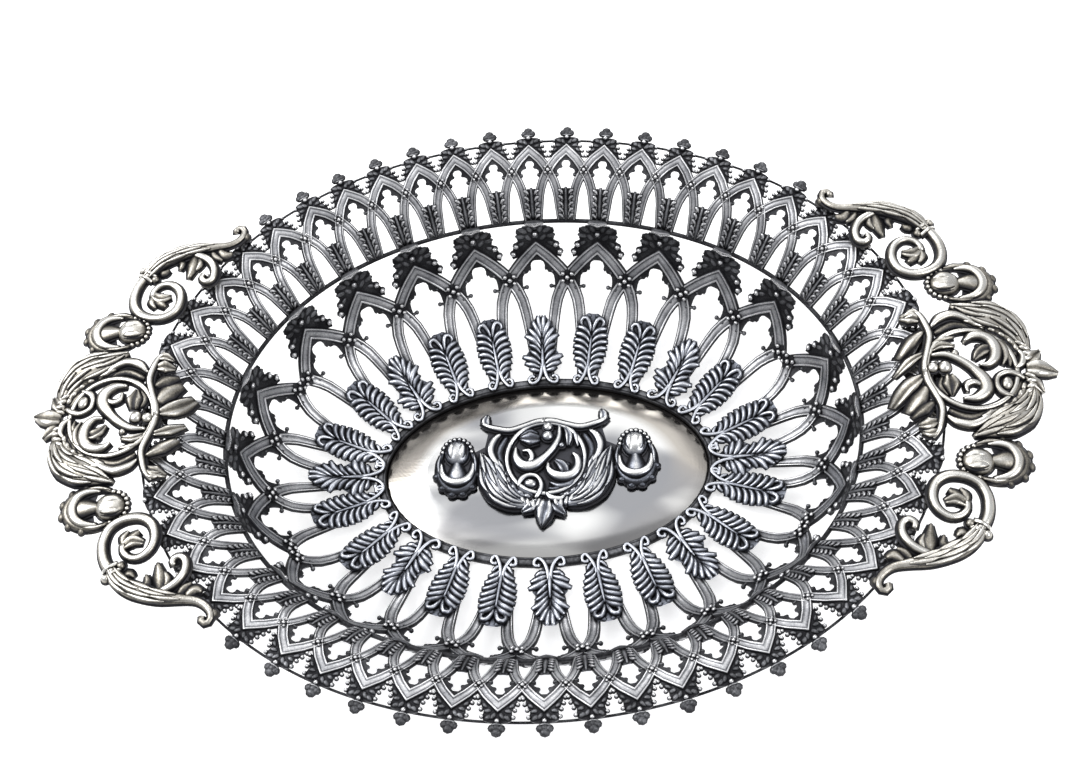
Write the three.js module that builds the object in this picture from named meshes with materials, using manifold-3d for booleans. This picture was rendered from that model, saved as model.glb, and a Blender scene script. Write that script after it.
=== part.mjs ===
// An oval openwork centrepiece basket, built up from cast silver panels, wires and applied castings.
// Millimetres, +Z up, X along the two handles, the origin under the middle of the base plate.
import * as THREE from 'three';
import { mergeVertices } from 'three/addons/utils/BufferGeometryUtils.js';
import Module from 'manifold-3d';

const wasm = await Module();
wasm.setup();

// Base plate and its frame
const PLATE_HALF_LENGTH = 58.6;
const PLATE_HALF_WIDTH = 34.8;
const PLATE_THICKNESS = 1.0;
const PLATE_DISH = 0.9;
const FRAME_WIDTH = 2.6;
const FRAME_HEIGHT = 2.2;

// Bowl wall, from the frame up to the shoulder ring
const SHOULDER_OFFSET = 45.0;
const SHOULDER_HEIGHT = 37.1;
const SHOULDER_RING_RADIUS = 1.1;
const LOWER_THICKNESS = 1.2;
const LOWER_SIDE_BAYS = 9;
const LOWER_END_BAYS = 3;
const LOWER_SEAM_WIDTH = 4.8;
const LOWER_BAR_WIDTH = 3.3;
const LEAF_THICKNESS = 1.5;
const PALM_LEAF_WIDTH = 11.4;
const ACANTHUS_LEAF_WIDTH = 14.4;

// Flaring wall, from the shoulder ring out to the rim wire
const FLARE_REACH = 22.4;
const FLARE_RISE = 17.0;
const FLARE_BEND_REACH = 9.1;
const FLARE_BEND_RISE = 16.7;
const UPPER_THICKNESS = 1.1;
const UPPER_PANEL_BAYS = 13;
const UPPER_SEAM_WIDTH = 0.9;
const UPPER_BAR_WIDTH = 2.1;
const RIM_WIRE_RADIUS = 0.6;
const KNOB_REACH = 2.6;

// Handles and the ornament on the plate
const CREST_STANDOUT = 8.5;
const CREST_HALF_WIDTH = 38.9;
const CREST_TIP = 26.0;
const CREST_WIRE_RADIUS = 1.3;
const WREATH_RADIUS = 14.0;
const ROUNDEL_RADIUS_OUT = 9.7;
const ROUNDEL_RADIUS_ALONG = 6.4;
const ROUNDEL_SHIFT = 1.6;
const HANDLE_HALF_SPAN = 75.0;
const HANDLE_LIFT = 3.4;
const HANDLE_DROOP = 2.5;
const SCROLL_RING_RADIUS = 7.5;
const SCROLL_WIRE_RADIUS = 1.2;
const END_BALL_RADIUS = 2.2;
const ORNAMENT_SHIFT = 3.5;

// Gap between pieces that touch, and the wider one under a casting that lies on a curved wall
const CLEARANCE = 0.3;
const SEAT_CLEARANCE = 0.55;

// Levels of the tracery as shares of a wall's slant height
const CROSSING_LEVEL = 0.615;
const LOWER_APEX_LEVEL = 0.8;
const UPPER_APEX_LEVEL = 0.85;
const LEAF_TOP_LEVEL = 0.4;

const TURN = 2 * Math.PI;
const WELD_DISTANCE = 1e-5;

// Oval plan: every level of the basket lies at an equal distance outside the plate's edge
function ovalPoint(angle, offset) {
  const edge = new THREE.Vector2(PLATE_HALF_LENGTH * Math.cos(angle), PLATE_HALF_WIDTH * Math.sin(angle));
  const normal = new THREE.Vector2(PLATE_HALF_WIDTH * Math.cos(angle), PLATE_HALF_LENGTH * Math.sin(angle));
  return edge.addScaledVector(normal.normalize(), offset);
}

class Oval extends THREE.Curve {
  constructor(offset) {
    super();
    this.offset = offset;
    this.arcLengthDivisions = 720;
  }

  getPoint(share) {
    return ovalPoint(TURN * share, this.offset);
  }

  angleAt(distance) {
    const share = THREE.MathUtils.euclideanModulo(distance / this.getLength(), 1);
    return TURN * this.getUtoTmapping(share);
  }
}

// Distance of a plan point from the plate's edge, positive outside
function offsetAt(x, y) {
  const slack = PLATE_HALF_LENGTH ** 2 - PLATE_HALF_WIDTH ** 2;
  let angle = Math.atan2(PLATE_HALF_LENGTH * y, PLATE_HALF_WIDTH * x);
  for (let i = 0; i < 12; i++) {
    const cos = Math.cos(angle);
    const sin = Math.sin(angle);
    const error = slack * cos * sin - x * PLATE_HALF_LENGTH * sin + y * PLATE_HALF_WIDTH * cos;
    const rate = slack * (cos * cos - sin * sin) - x * PLATE_HALF_LENGTH * cos - y * PLATE_HALF_WIDTH * sin;
    angle -= error / rate;
  }
  const normal = new THREE.Vector2(PLATE_HALF_WIDTH * Math.cos(angle), PLATE_HALF_LENGTH * Math.sin(angle));
  return new THREE.Vector2(x, y).sub(ovalPoint(angle, 0)).dot(normal.normalize());
}

// Bowl profile: a quarter of an ellipse, level at the frame and upright at the shoulder
class BowlProfile extends THREE.Curve {
  getPoint(share) {
    const start = FRAME_WIDTH / 2 + CLEARANCE;
    const foot = LOWER_THICKNESS / 2 + CLEARANCE;
    const turn = share * TURN / 4;
    const offset = start + (SHOULDER_OFFSET - start) * Math.sin(turn);
    return new THREE.Vector2(offset, foot + (SHOULDER_HEIGHT - foot) * (1 - Math.cos(turn)));
  }
}

// A wall has a profile and a plan; a place on it is along, up and proud of its middle surface
class Wall {
  constructor(profile) {
    this.profile = profile;
    this.slant = profile.getLength();
    this.crossing = new Oval(profile.getPointAt(CROSSING_LEVEL).x);
  }

  place(centre, along, height, proud) {
    const share = THREE.MathUtils.clamp(height / this.slant, 0, 1);
    const point = this.profile.getPointAt(share);
    const slope = this.profile.getTangentAt(share);
    const beyond = height - share * this.slant;
    const offset = point.x + slope.x * beyond - slope.y * proud;
    const plan = ovalPoint(this.crossing.angleAt(centre - along), offset);
    return new THREE.Vector3(plan.x, plan.y, point.y + slope.y * beyond + slope.x * proud);
  }

  // Width here of one millimetre at the crossings
  spread(centre, height) {
    return this.place(centre, -0.5, height, 0).distanceTo(this.place(centre, 0.5, height, 0));
  }
}

const bowl = new Wall(new BowlProfile());
const flareFoot = new THREE.Vector2(SHOULDER_OFFSET, SHOULDER_HEIGHT);
const rimEdge = flareFoot.clone().add(new THREE.Vector2(FLARE_REACH, FLARE_RISE));

// The flaring wall leaves the shoulder steeply and bends outwards, until it is almost level at the rim
const flareBend = flareFoot.clone().add(new THREE.Vector2(FLARE_BEND_REACH, FLARE_BEND_RISE));
const flare = new Wall(new THREE.QuadraticBezierCurve(flareFoot, flareBend, rimEdge));
const rim = new Oval(rimEdge.x);

// Solids
function toSolid(geometry) {
  const bare = new THREE.BufferGeometry();
  bare.setAttribute('position', geometry.getAttribute('position'));
  bare.setIndex(geometry.getIndex());
  const merged = mergeVertices(bare, WELD_DISTANCE);
  const corners = merged.getIndex().array;
  const kept = [];
  for (let i = 0; i < corners.length; i += 3) {
    const [a, b, c] = corners.slice(i, i + 3);
    if (a !== b && b !== c && c !== a) kept.push(a, b, c);
  }
  const vertProperties = Float32Array.from(merged.getAttribute('position').array);
  return new wasm.Manifold(new wasm.Mesh({ numProp: 3, vertProperties, triVerts: Uint32Array.from(kept) }));
}

function toGeometry(solid) {
  const mesh = solid.getMesh();
  const geometry = new THREE.BufferGeometry();
  geometry.setAttribute('position', new THREE.BufferAttribute(Float32Array.from(mesh.vertProperties), 3));
  geometry.setIndex(new THREE.BufferAttribute(Uint32Array.from(mesh.triVerts), 1));
  return geometry;
}

function join(geometries) {
  return geometries.map(toSolid).reduce((whole, piece) => whole.add(piece));
}

function bend(geometry, place) {
  const positions = geometry.getAttribute('position');
  const point = new THREE.Vector3();
  for (let i = 0; i < positions.count; i++) {
    point.fromBufferAttribute(positions, i);
    const { x, y, z } = place(point);
    positions.setXYZ(i, x, y, z);
  }
  return geometry;
}

// Flat cut shapes, given a thickness about the wall's middle surface
function slab(shape, thickness) {
  const geometry = new THREE.ExtrudeGeometry(shape, { depth: thickness, bevelEnabled: false });
  return geometry.translate(0, 0, -thickness / 2);
}

function outline(points) {
  return new THREE.Shape(points.map(([x, y]) => new THREE.Vector2(x, y)));
}

// Both halves of a symmetric line that is given from its middle, or from its foot, to the right
function bothSides(points) {
  return [...points.map(([x, y]) => [-x, y]).reverse(), ...points];
}

// Both edges of a curved bar, at each point of its middle line: above it and below it
function barEdges(points, width) {
  const line = new THREE.SplineCurve(points.map(([x, y]) => new THREE.Vector2(x, y)));
  return points.map(([x, y], i) => {
    const tangent = line.getTangent(i / (points.length - 1));
    const across = tangent.y * width / 2;
    const up = tangent.x * width / 2;
    return { above: [x - across, y + up], below: [x + across, y - up], tangent };
  });
}

// A rod follows a flat curve; its half-widths are spread evenly along it
function rod(points, halfWidths, { steps, sides = 4, flatness = 1 }) {
  const line = new THREE.CatmullRomCurve3(points.map(([x, y]) => new THREE.Vector3(x, y, 0)));
  const geometry = new THREE.CylinderGeometry(1, 1, 1, sides, steps);
  return bend(geometry, ({ x, y, z }) => {
    const share = THREE.MathUtils.clamp(y + 0.5, 0, 1);
    const span = share * (halfWidths.length - 1);
    const first = Math.min(Math.floor(span), halfWidths.length - 2);
    const half = THREE.MathUtils.lerp(halfWidths[first], halfWidths[first + 1], span - first);
    const tangent = line.getTangentAt(share);
    const place = line.getPointAt(share);
    const side = x * half;
    return { x: place.x + tangent.y * side, y: place.y - tangent.x * side, z: z * half * flatness };
  });
}

function ball([x, y], radiusX, radiusY, height) {
  const round = new THREE.SphereGeometry(1, 6, 3).rotateX(TURN / 4);
  return round.scale(radiusX, radiusY, height).translate(x, y, 0);
}

function hoop([x, y], radiusX, radiusY, wireRadius, steps) {
  const wire = 0.1;
  return bend(new THREE.TorusGeometry(1, wire, 4, steps), (point) => {
    const reach = Math.hypot(point.x, point.y);
    const across = (reach - 1) * wireRadius / wire;
    const ringX = (radiusX + across) * point.x / reach;
    const ringY = (radiusY + across) * point.y / reach;
    return { x: x + ringX, y: y + ringY, z: point.z * wireRadius / wire };
  });
}

// A moulding or wire that runs round the oval, from its section in offset and height
function ovalRing(section, offset, steps) {
  const far = 1000;
  const loop = [...section, section[0]].map(([across, height]) => new THREE.Vector2(far + across, height));
  const course = new Oval(offset);
  return bend(new THREE.LatheGeometry(loop, steps), ({ x, y, z }) => {
    const share = Math.atan2(z, x) / TURN;
    const plan = ovalPoint(course.angleAt(-share * course.getLength()), offset + Math.hypot(x, z) - far);
    return { x: plan.x, y: plan.y, z: y };
  });
}

function roundSection(radius, height, sides) {
  return Array.from({ length: sides }, (_, i) => {
    const angle = TURN * (i + 0.5) / sides;
    return [radius * Math.cos(angle), height + radius * Math.sin(angle)];
  });
}

// Finishes
const finishes = {
  polished: new THREE.MeshStandardMaterial({ color: 0xdcdcda, roughness: 0.12, metalness: 1 }),
  wire: new THREE.MeshStandardMaterial({ color: 0x8f8f92, roughness: 0.3, metalness: 1 }),
  tracery: new THREE.MeshStandardMaterial({ color: 0x9a9a9e, roughness: 0.35, metalness: 1 }),
  leaf: new THREE.MeshStandardMaterial({ color: 0xb4b6ba, roughness: 0.35, metalness: 1 }),
  warm: new THREE.MeshStandardMaterial({ color: 0xc4c0b4, roughness: 0.32, metalness: 1 }),
};
const basket = new THREE.Group();

function addPiece(name, geometry, finish) {
  geometry.computeVertexNormals();
  const mesh = new THREE.Mesh(geometry, finish.clone());
  mesh.name = name;
  basket.add(mesh);
}

// Base plate: flat below, dished above, standing inside its frame
const plateInset = FRAME_WIDTH / 2 + CLEARANCE;

function plateTop(x, y) {
  const reach = Math.hypot(x / (PLATE_HALF_LENGTH - plateInset), y / (PLATE_HALF_WIDTH - plateInset));
  return PLATE_THICKNESS + PLATE_DISH * reach ** 2;
}

function basePlate() {
  const rings = [1, 0.6, 0];
  const underside = [new THREE.Vector2(0, 0), new THREE.Vector2(1, 0)];
  const dish = rings.map((reach) => new THREE.Vector2(reach, PLATE_THICKNESS + PLATE_DISH * reach ** 2));
  const plate = new THREE.LatheGeometry([...underside, ...dish], 48).rotateX(TURN / 4);
  plate.scale(PLATE_HALF_LENGTH - plateInset, PLATE_HALF_WIDTH - plateInset, 1);
  return toGeometry(toSolid(plate));
}

function baseFrame() {
  const half = FRAME_WIDTH / 2;
  const shoulder = FRAME_HEIGHT - half / 2;
  const section = [[-half, 0], [half, 0], [half, shoulder], [0, FRAME_HEIGHT], [-half, shoulder]];
  return toGeometry(toSolid(ovalRing(section, 0, 56)));
}

// Tracery: two bars leave each foot, cross their neighbours and meet over the next bay.
// A bay is a foot, the bars up to both nodes, the bars from there to the apex, and the crown.
function bayPlates(wall, { pitch, barWidth, barPoints, crossing, lobes, cusps, foot, top }) {
  const scaled = (points) => points.map(([x, y]) => [x * pitch, y * wall.slant]);
  const over = ([x, y]) => [pitch - x, y];
  const edges = barEdges(scaled(barPoints), barWidth);
  const { tangent } = edges[crossing];
  const level = CROSSING_LEVEL * wall.slant;
  const inner = [(pitch - barWidth / tangent.y) / 2, level];
  const low = [pitch / 2, level - barWidth / 2 / tangent.x];
  const high = [pitch / 2, level + barWidth / 2 / tangent.x];
  const lower = [...edges.slice(0, crossing).map(({ above, below }) => [above, below]), [inner, low]];
  const last = edges[crossing + 1];
  const upper = [[inner, high], [over(last.below), over(last.above)]];
  const strips = (pairs) => pairs.slice(1).map(([above, below], i) => [...pairs[i], below, above]);
  const bars = [...strips(lower), ...strips(upper)];
  const base = [lower[0][0], lower[0][1], [lower[0][1][0], foot]];
  const arch = [...scaled(cusps).reverse(), ...upper[1].slice().sort((p, q) => p[1] - q[1])];
  const crown = [...arch, ...scaled(lobes), [lobes.at(-1)[0] * pitch, top]];
  return { inner, low, high, bars, base: bothSides(base), crown: bothSides(crown) };
}

function mirrored(points) {
  return points.map(([x, y]) => [-x, y]);
}

function castPanel(wall, { centre, bays, pitch, overhang, thickness, bayAt }) {
  const plates = [];
  for (let bay = 0; bay < bays; bay++) {
    const shift = (bay - (bays - 1) / 2) * pitch;
    const { inner, low, high, bars, base, crown } = bayAt(shift);
    const nextInner = [pitch - inner[0], inner[1]];
    const end = pitch / 2 + overhang;
    const stub = [inner, low, [end, (low[1] + inner[1]) / 2], [end, (high[1] + inner[1]) / 2], high];
    const node = bay < bays - 1 ? [inner, low, nextInner, high] : stub;
    const drawn = [...bars, ...bars.map(mirrored), base, crown, node];
    if (bay === 0) drawn.push(mirrored(stub));
    plates.push(...drawn.map((points) => outline(points.map(([x, y]) => [x + shift, y]))));
  }
  const flat = toGeometry(join(plates.map((plate) => slab(plate, thickness))));
  return bend(flat, ({ x, y, z }) => wall.place(centre, x, y, z));
}

const lowerBays = 2 * (LOWER_SIDE_BAYS + LOWER_END_BAYS);
const lowerPitch = (bowl.crossing.getLength() - 4 * LOWER_SEAM_WIDTH) / lowerBays;

function lowerPanel(bays, centre) {
  const lowerBar = [[0.12, 0.06], [0.15, 0.22], [0.2, 0.39], [0.33, 0.51]];
  const upperBar = [[0.76, 0.715], [1, LOWER_APEX_LEVEL]];
  const plates = bayPlates(bowl, {
    pitch: lowerPitch,
    barWidth: LOWER_BAR_WIDTH,
    barPoints: [...lowerBar, [0.5, CROSSING_LEVEL], ...upperBar],
    crossing: lowerBar.length,
    cusps: [[0.13, 0.7], [0.03, 0.725]],
    lobes: [[0.4, 0.74], [0.3, 0.82], [0.33, 0.87], [0.26, 0.92], [0.18, 0.91], [0.1, 0.945]],
    foot: 0,
    top: bowl.slant - SHOULDER_RING_RADIUS - CLEARANCE,
  });
  const overhang = (LOWER_SEAM_WIDTH - CLEARANCE) / 2;
  const size = { centre, bays, pitch: lowerPitch, overhang, thickness: LOWER_THICKNESS };
  return castPanel(bowl, { ...size, bayAt: () => plates });
}

// Leaves lie on the bars of the bowl; their half-widths and levels run from the foot to the tip
const leafForms = {
  palm: { width: PALM_LEAF_WIDTH, halfWidths: [0.35, 0.65, 0.85, 0.7, 1, 0.8, 0.55, 0.1] },
  acanthus: { width: ACANTHUS_LEAF_WIDTH, halfWidths: [0.3, 0.85, 0.5, 1, 0.6, 0.9, 0.45, 0.08] },
};

function leaf({ width, halfWidths }, centre) {
  const steps = halfWidths.length - 1;
  const foot = CLEARANCE + FRAME_WIDTH / 4;
  const length = LEAF_TOP_LEVEL * bowl.slant - foot;
  const seat = LOWER_THICKNESS / 2 + SEAT_CLEARANCE;
  return bend(new THREE.CylinderGeometry(1, 1, 1, 3, steps), ({ x, y, z }) => {
    const share = THREE.MathUtils.clamp(y + 0.5, 0, 1);
    const height = foot + share * length;
    const half = halfWidths[Math.round(share * steps)] * width / 2;
    const across = Math.sign(Math.round(x)) * half / bowl.spread(centre, height);
    return bowl.place(centre, across, height, seat + LEAF_THICKNESS * Math.max(z, 0));
  });
}

const upperPitch = (flare.crossing.getLength() / 4 - UPPER_SEAM_WIDTH) / UPPER_PANEL_BAYS;
const handleReach = HANDLE_HALF_SPAN * flare.crossing.getLength() / rim.getLength();

function upperPanel(centre, atHandle) {
  const lowerBar = [[0.16, 0.08], [0.21, 0.36]];
  const upperBar = [[0.78, 0.745], [1, UPPER_APEX_LEVEL]];
  const platesUpTo = (top) => bayPlates(flare, {
    pitch: upperPitch,
    barWidth: UPPER_BAR_WIDTH,
    barPoints: [...lowerBar, [0.5, CROSSING_LEVEL], ...upperBar],
    crossing: lowerBar.length,
    cusps: [[0.06, 0.75]],
    lobes: [[0.36, 0.83], [0.26, 0.93], [0.15, 0.98]],
    foot: SHOULDER_RING_RADIUS + CLEARANCE,
    top,
  });
  const knobbed = platesUpTo(flare.slant + KNOB_REACH);
  const plain = platesUpTo(flare.slant + RIM_WIRE_RADIUS);
  const bayAt = (shift) => (atHandle && Math.abs(shift) < handleReach ? plain : knobbed);
  const overhang = (UPPER_SEAM_WIDTH - CLEARANCE) / 2;
  const size = { centre, bays: UPPER_PANEL_BAYS, pitch: upperPitch, overhang, thickness: UPPER_THICKNESS };
  return castPanel(flare, { ...size, bayAt });
}

// Wires: one at the shoulder, and one soldered behind the finials of the rim
function shoulderRing() {
  const section = roundSection(SHOULDER_RING_RADIUS, SHOULDER_HEIGHT, 5);
  return toGeometry(toSolid(ovalRing(section, SHOULDER_OFFSET, 68)));
}

function rimWire() {
  const slope = flare.profile.getTangentAt(1);
  const behind = UPPER_THICKNESS / 2 + CLEARANCE + RIM_WIRE_RADIUS;
  const section = roundSection(RIM_WIRE_RADIUS, rimEdge.y - slope.x * behind, 4);
  return toGeometry(toSolid(ovalRing(section, rimEdge.x + slope.y * behind, 80)));
}

// Crest: a wreath with an S of foliage, a leaf tip, two wings and two serrated roundels with buds.
// It is drawn flat, X towards its tip, and used three times.
const roundelCentre = [ROUNDEL_SHIFT, CREST_HALF_WIDTH - CREST_WIRE_RADIUS - ROUNDEL_RADIUS_ALONG];
const roundelNearSide = roundelCentre[1] - ROUNDEL_RADIUS_ALONG - CREST_WIRE_RADIUS;
const branchEnd = [-1.11 * WREATH_RADIUS, roundelNearSide - 3.2];

function spiral([x, y], from, to, start, sweep, count) {
  return Array.from({ length: count + 1 }, (_, i) => {
    const reach = THREE.MathUtils.lerp(from, to, i / count);
    const angle = start + sweep * i / count;
    return [x + reach * Math.cos(angle), y + reach * Math.sin(angle)];
  });
}

function crest() {
  const ofWreath = (points) => points.map(([x, y]) => [x * WREATH_RADIUS, y * WREATH_RADIUS]);
  const [endX, endY] = branchEnd;
  const pieces = [hoop([0, 0], WREATH_RADIUS, WREATH_RADIUS, CREST_WIRE_RADIUS, 14)];
  const tipLeaf = [[WREATH_RADIUS - 0.5, 0], [(WREATH_RADIUS + 2 * CREST_TIP) / 3, 0], [CREST_TIP, 0]];
  pieces.push(rod(tipLeaf, [1.6, 3.6, 2.8, 0.3], { steps: 4, flatness: 0.4 }));
  const branch = [[endX, -endY], ...ofWreath([[-1, -0.57], [-1, 0], [-1, 0.57]]), [endX, endY]];
  pieces.push(rod(branch, [0.8, 1.2, 1.4, 1.2, 0.8], { steps: 4, flatness: 0.9 }));
  const inward = spiral([0.27, -0.3], 0.4, 0.19, TURN * 0.36, TURN * 0.85, 6);
  pieces.push(rod(ofWreath([[-0.96, 0.21], ...inward]), [1.3, 1.2, 1.1, 1.3], { steps: 8, flatness: 0.9 }));
  const outward = spiral([-0.24, 0.4], 0.33, 0.17, TURN * 0.96, TURN * 0.7, 5);
  pieces.push(rod(ofWreath([[0.82, 0.43], ...outward]), [1.2, 1.1, 1.0, 1.2], { steps: 7, flatness: 0.9 }));
  for (const side of [1, -1]) {
    const hand = (points) => points.map(([x, y]) => [x, side * y]);
    const [centre, bud] = hand([roundelCentre, [ROUNDEL_SHIFT - ROUNDEL_RADIUS_OUT / 2, roundelCentre[1]]]);
    pieces.push(hoop(centre, ROUNDEL_RADIUS_OUT, ROUNDEL_RADIUS_ALONG, CREST_WIRE_RADIUS, 10));
    pieces.push(ball(bud, ROUNDEL_RADIUS_OUT / 2, ROUNDEL_RADIUS_ALONG - 0.3, 1.6));
    const curl = [[1, 0], [0.52, 0.23], [0.26, -0.31]].map(([x, y]) => [
      roundelCentre[0] + x * ROUNDEL_RADIUS_OUT,
      roundelCentre[1] + y * ROUNDEL_RADIUS_ALONG,
    ]);
    pieces.push(rod(hand(curl), [1.1, 1.8, 0.8], { steps: 3, flatness: 0.8 }));
    const wing = [...ofWreath([[1.34, 0.66], [1.19, 1.17]]), [0.57 * WREATH_RADIUS, roundelNearSide - 1.9]];
    wing.push([-0.21 * WREATH_RADIUS, roundelNearSide + 0.1]);
    pieces.push(rod(hand(wing), [1.4, 3.4, 3.7, 3.2, 0.8], { steps: 4, flatness: 0.4 }));
    const border = ofWreath([[0.9, 0.47], [1.36, 0.69], [1.51, 0.39], [1.39, 0.1]]);
    pieces.push(rod(hand(border), [1.1, 1.2, 1.1, 1.1], { steps: 4, flatness: 0.9 }));
    const [stayX, stayEndX] = [-0.57 * WREATH_RADIUS, 0.14 * WREATH_RADIUS];
    const stay = [[endX + 1.2, endY - 1.6], [stayX, endY + 0.6], [stayEndX, endY + 1.8]];
    pieces.push(rod(hand(stay), [1.0, 1.1, 1.0], { steps: 3, flatness: 0.9 }));
  }
  return toGeometry(join(pieces));
}

// Handles lie over the flaring wall, level off past the rim and droop a little to the tip
const rimEnd = ovalPoint(0, rimEdge.x).x;
const crestX = rimEnd + CREST_STANDOUT;

function flareHeight(offset) {
  const across = THREE.MathUtils.clamp(offset - flareFoot.x, 0, FLARE_REACH);
  const bow = FLARE_REACH - 2 * FLARE_BEND_REACH;
  const share = across / (FLARE_BEND_REACH + Math.sqrt(FLARE_BEND_REACH ** 2 + bow * across));
  return flare.profile.getPoint(share).y;
}

function handleLevel(x, y) {
  const offset = offsetAt(x, y);
  const outside = Math.max(offset - rimEdge.x, 0) / (CREST_STANDOUT + CREST_TIP);
  return flareHeight(offset) + HANDLE_LIFT - HANDLE_DROOP * outside ** 2;
}

function placeOnHandle(geometry, end) {
  return bend(geometry, ({ x, y, z }) => ({ x: end * x, y: end * y, z: handleLevel(x, y) + z }));
}

function handleCrest(end) {
  return placeOnHandle(crest().translate(crestX, 0, 0), end);
}

// The scroll's ring lies just clear of the roundel, out from its rim-side shoulder
function scrollRingCentre() {
  const angle = TURN * 3 / 8;
  const radii = new THREE.Vector2(ROUNDEL_RADIUS_OUT, ROUNDEL_RADIUS_ALONG).addScalar(CREST_WIRE_RADIUS);
  const around = new THREE.Vector2(Math.cos(angle), Math.sin(angle));
  const normal = around.clone().divide(radii).normalize();
  const centre = around.multiply(radii).add(new THREE.Vector2(...roundelCentre));
  centre.x += crestX;
  return centre.addScaledVector(normal, CLEARANCE + SCROLL_WIRE_RADIUS + SCROLL_RING_RADIUS);
}

function cornerScroll(end, side) {
  const ring = scrollRingCentre();
  const foot = ovalPoint(rim.angleAt(HANDLE_HALF_SPAN), rimEdge.x);
  const collar = new THREE.Vector2(ring.x + 0.92 * SCROLL_RING_RADIUS, ring.y + 1.39 * SCROLL_RING_RADIUS);
  const along = (share, bulge) => {
    const { x, y } = foot.clone().lerp(collar, share);
    return [x + bulge * 0.45, y + bulge];
  };
  const slope = flare.profile.getTangentAt(1).x;
  const footHeight = (handleLevel(foot.x, foot.y) - rimEdge.y) * slope - UPPER_THICKNESS / 2 - CLEARANCE;
  const curlHeight = HANDLE_LIFT * slope - UPPER_THICKNESS / 2 - CLEARANCE;
  const onRing = (x, y) => [ring.x + x * SCROLL_RING_RADIUS, ring.y + y * SCROLL_RING_RADIUS];
  const hand = (points) => points.map(([x, y]) => [x, side * y]);
  const stem = [foot.toArray(), along(0.18, 0.6), along(0.5, 1.6), along(0.82, 1.8), collar.toArray()];
  stem.push(onRing(1.05, 0.67), onRing(1, 0));
  const curl = [along(0.5, 0), along(0.32, -4.2), along(0.2, -8.4), along(0.34, -10.4)];
  const [ringCentre, footPlace, curlEnd] = hand([ring.toArray(), foot.toArray(), along(0.36, -10.4)]);
  const leafStem = [onRing(0, 1), onRing(-0.2, 0.4), onRing(0.07, -0.2)];
  const pieces = [
    rod(hand(stem), [1.0, 1.9, 3.6, 3.6, 2.8, 2.0, 1.5, 1.2], { steps: 10, sides: 5, flatness: 0.6 }),
    hoop(ringCentre, SCROLL_RING_RADIUS, SCROLL_RING_RADIUS, SCROLL_WIRE_RADIUS, 14),
    ball(footPlace, END_BALL_RADIUS, END_BALL_RADIUS, footHeight),
    rod(hand(curl), [2.0, 1.6, 1.2, 1.1], { steps: 5, flatness: 0.8 }),
    ball(curlEnd, END_BALL_RADIUS, END_BALL_RADIUS, curlHeight),
    rod(hand(leafStem), [1.0, 2.6, 0.6], { steps: 3, flatness: 0.5 }),
  ];
  return placeOnHandle(toGeometry(join(pieces)), end);
}

function leafSpray(end) {
  const rootX = crestX - WREATH_RADIUS - 2.8;
  const leaves = [[-9.5, 9.5], [-11, 3.5], [-9, -7.5]];
  const spine = [[rootX + 0.3, -8], [rootX - 0.4, 0], [rootX + 0.3, 10]];
  const pieces = [rod(spine, [0.8, 1.3, 0.8], { steps: 4, flatness: 0.8 })];
  for (const [reach, y] of leaves) {
    const points = [[rootX, y * 0.75], [rootX + reach / 2, y * 0.95], [rootX + reach, y]];
    pieces.push(rod(points, [1.0, 2.5, 0.4], { steps: 4, flatness: 0.4 }));
  }
  return placeOnHandle(toGeometry(join(pieces)), end);
}

function centreOrnament() {
  const seat = 1.7 + CLEARANCE;
  return bend(crest(), ({ x, y, z }) => {
    const across = y;
    const back = ORNAMENT_SHIFT - x;
    return { x: across, y: back, z: plateTop(across, back) + seat + z };
  });
}

// Assembly, from the plate outwards
addPiece('base_plate', basePlate(), finishes.polished);
addPiece('base_frame', baseFrame(), finishes.wire);

const lowerSides = [
  { name: 'right', bays: LOWER_END_BAYS },
  { name: 'far', bays: LOWER_SIDE_BAYS },
  { name: 'left', bays: LOWER_END_BAYS },
  { name: 'near', bays: LOWER_SIDE_BAYS },
];
lowerSides.forEach(({ name, bays }, quarter) => {
  const centre = quarter * bowl.crossing.getLength() / 4;
  addPiece(`lower_panel_${name}`, lowerPanel(bays, centre), finishes.tracery);
  for (let bay = 0; bay < bays; bay++) {
    const kind = bay % 3 === 1 ? 'acanthus' : 'palm';
    const shift = (bay - (bays - 1) / 2) * lowerPitch;
    addPiece(`${kind}_leaf_${name}_${bay + 1}`, leaf(leafForms[kind], centre - shift), finishes.leaf);
  }
});

addPiece('shoulder_ring', shoulderRing(), finishes.wire);
lowerSides.forEach(({ name }, quarter) => {
  const centre = quarter * flare.crossing.getLength() / 4;
  addPiece(`upper_panel_${name}`, upperPanel(centre, quarter % 2 === 0), finishes.tracery);
});
addPiece('rim_wire', rimWire(), finishes.wire);

for (const [hand, end] of [['right', 1], ['left', -1]]) {
  addPiece(`${hand}_handle_crest`, handleCrest(end), finishes.warm);
  addPiece(`${hand}_handle_far_scroll`, cornerScroll(end, end), finishes.warm);
  addPiece(`${hand}_handle_near_scroll`, cornerScroll(end, -end), finishes.warm);
  addPiece(`${hand}_handle_leaf_spray`, leafSpray(end), finishes.warm);
}
addPiece('centre_ornament', centreOrnament(), finishes.polished);

export default basket;
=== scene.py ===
"""The looks of an oval openwork silver basket: cast tracery, applied leaves and foliate handles."""
import math

import bmesh
import bpy
import numpy as np
from bpy.props import FloatProperty, FloatVectorProperty, PointerProperty
from mathutils import Matrix, Vector


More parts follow.
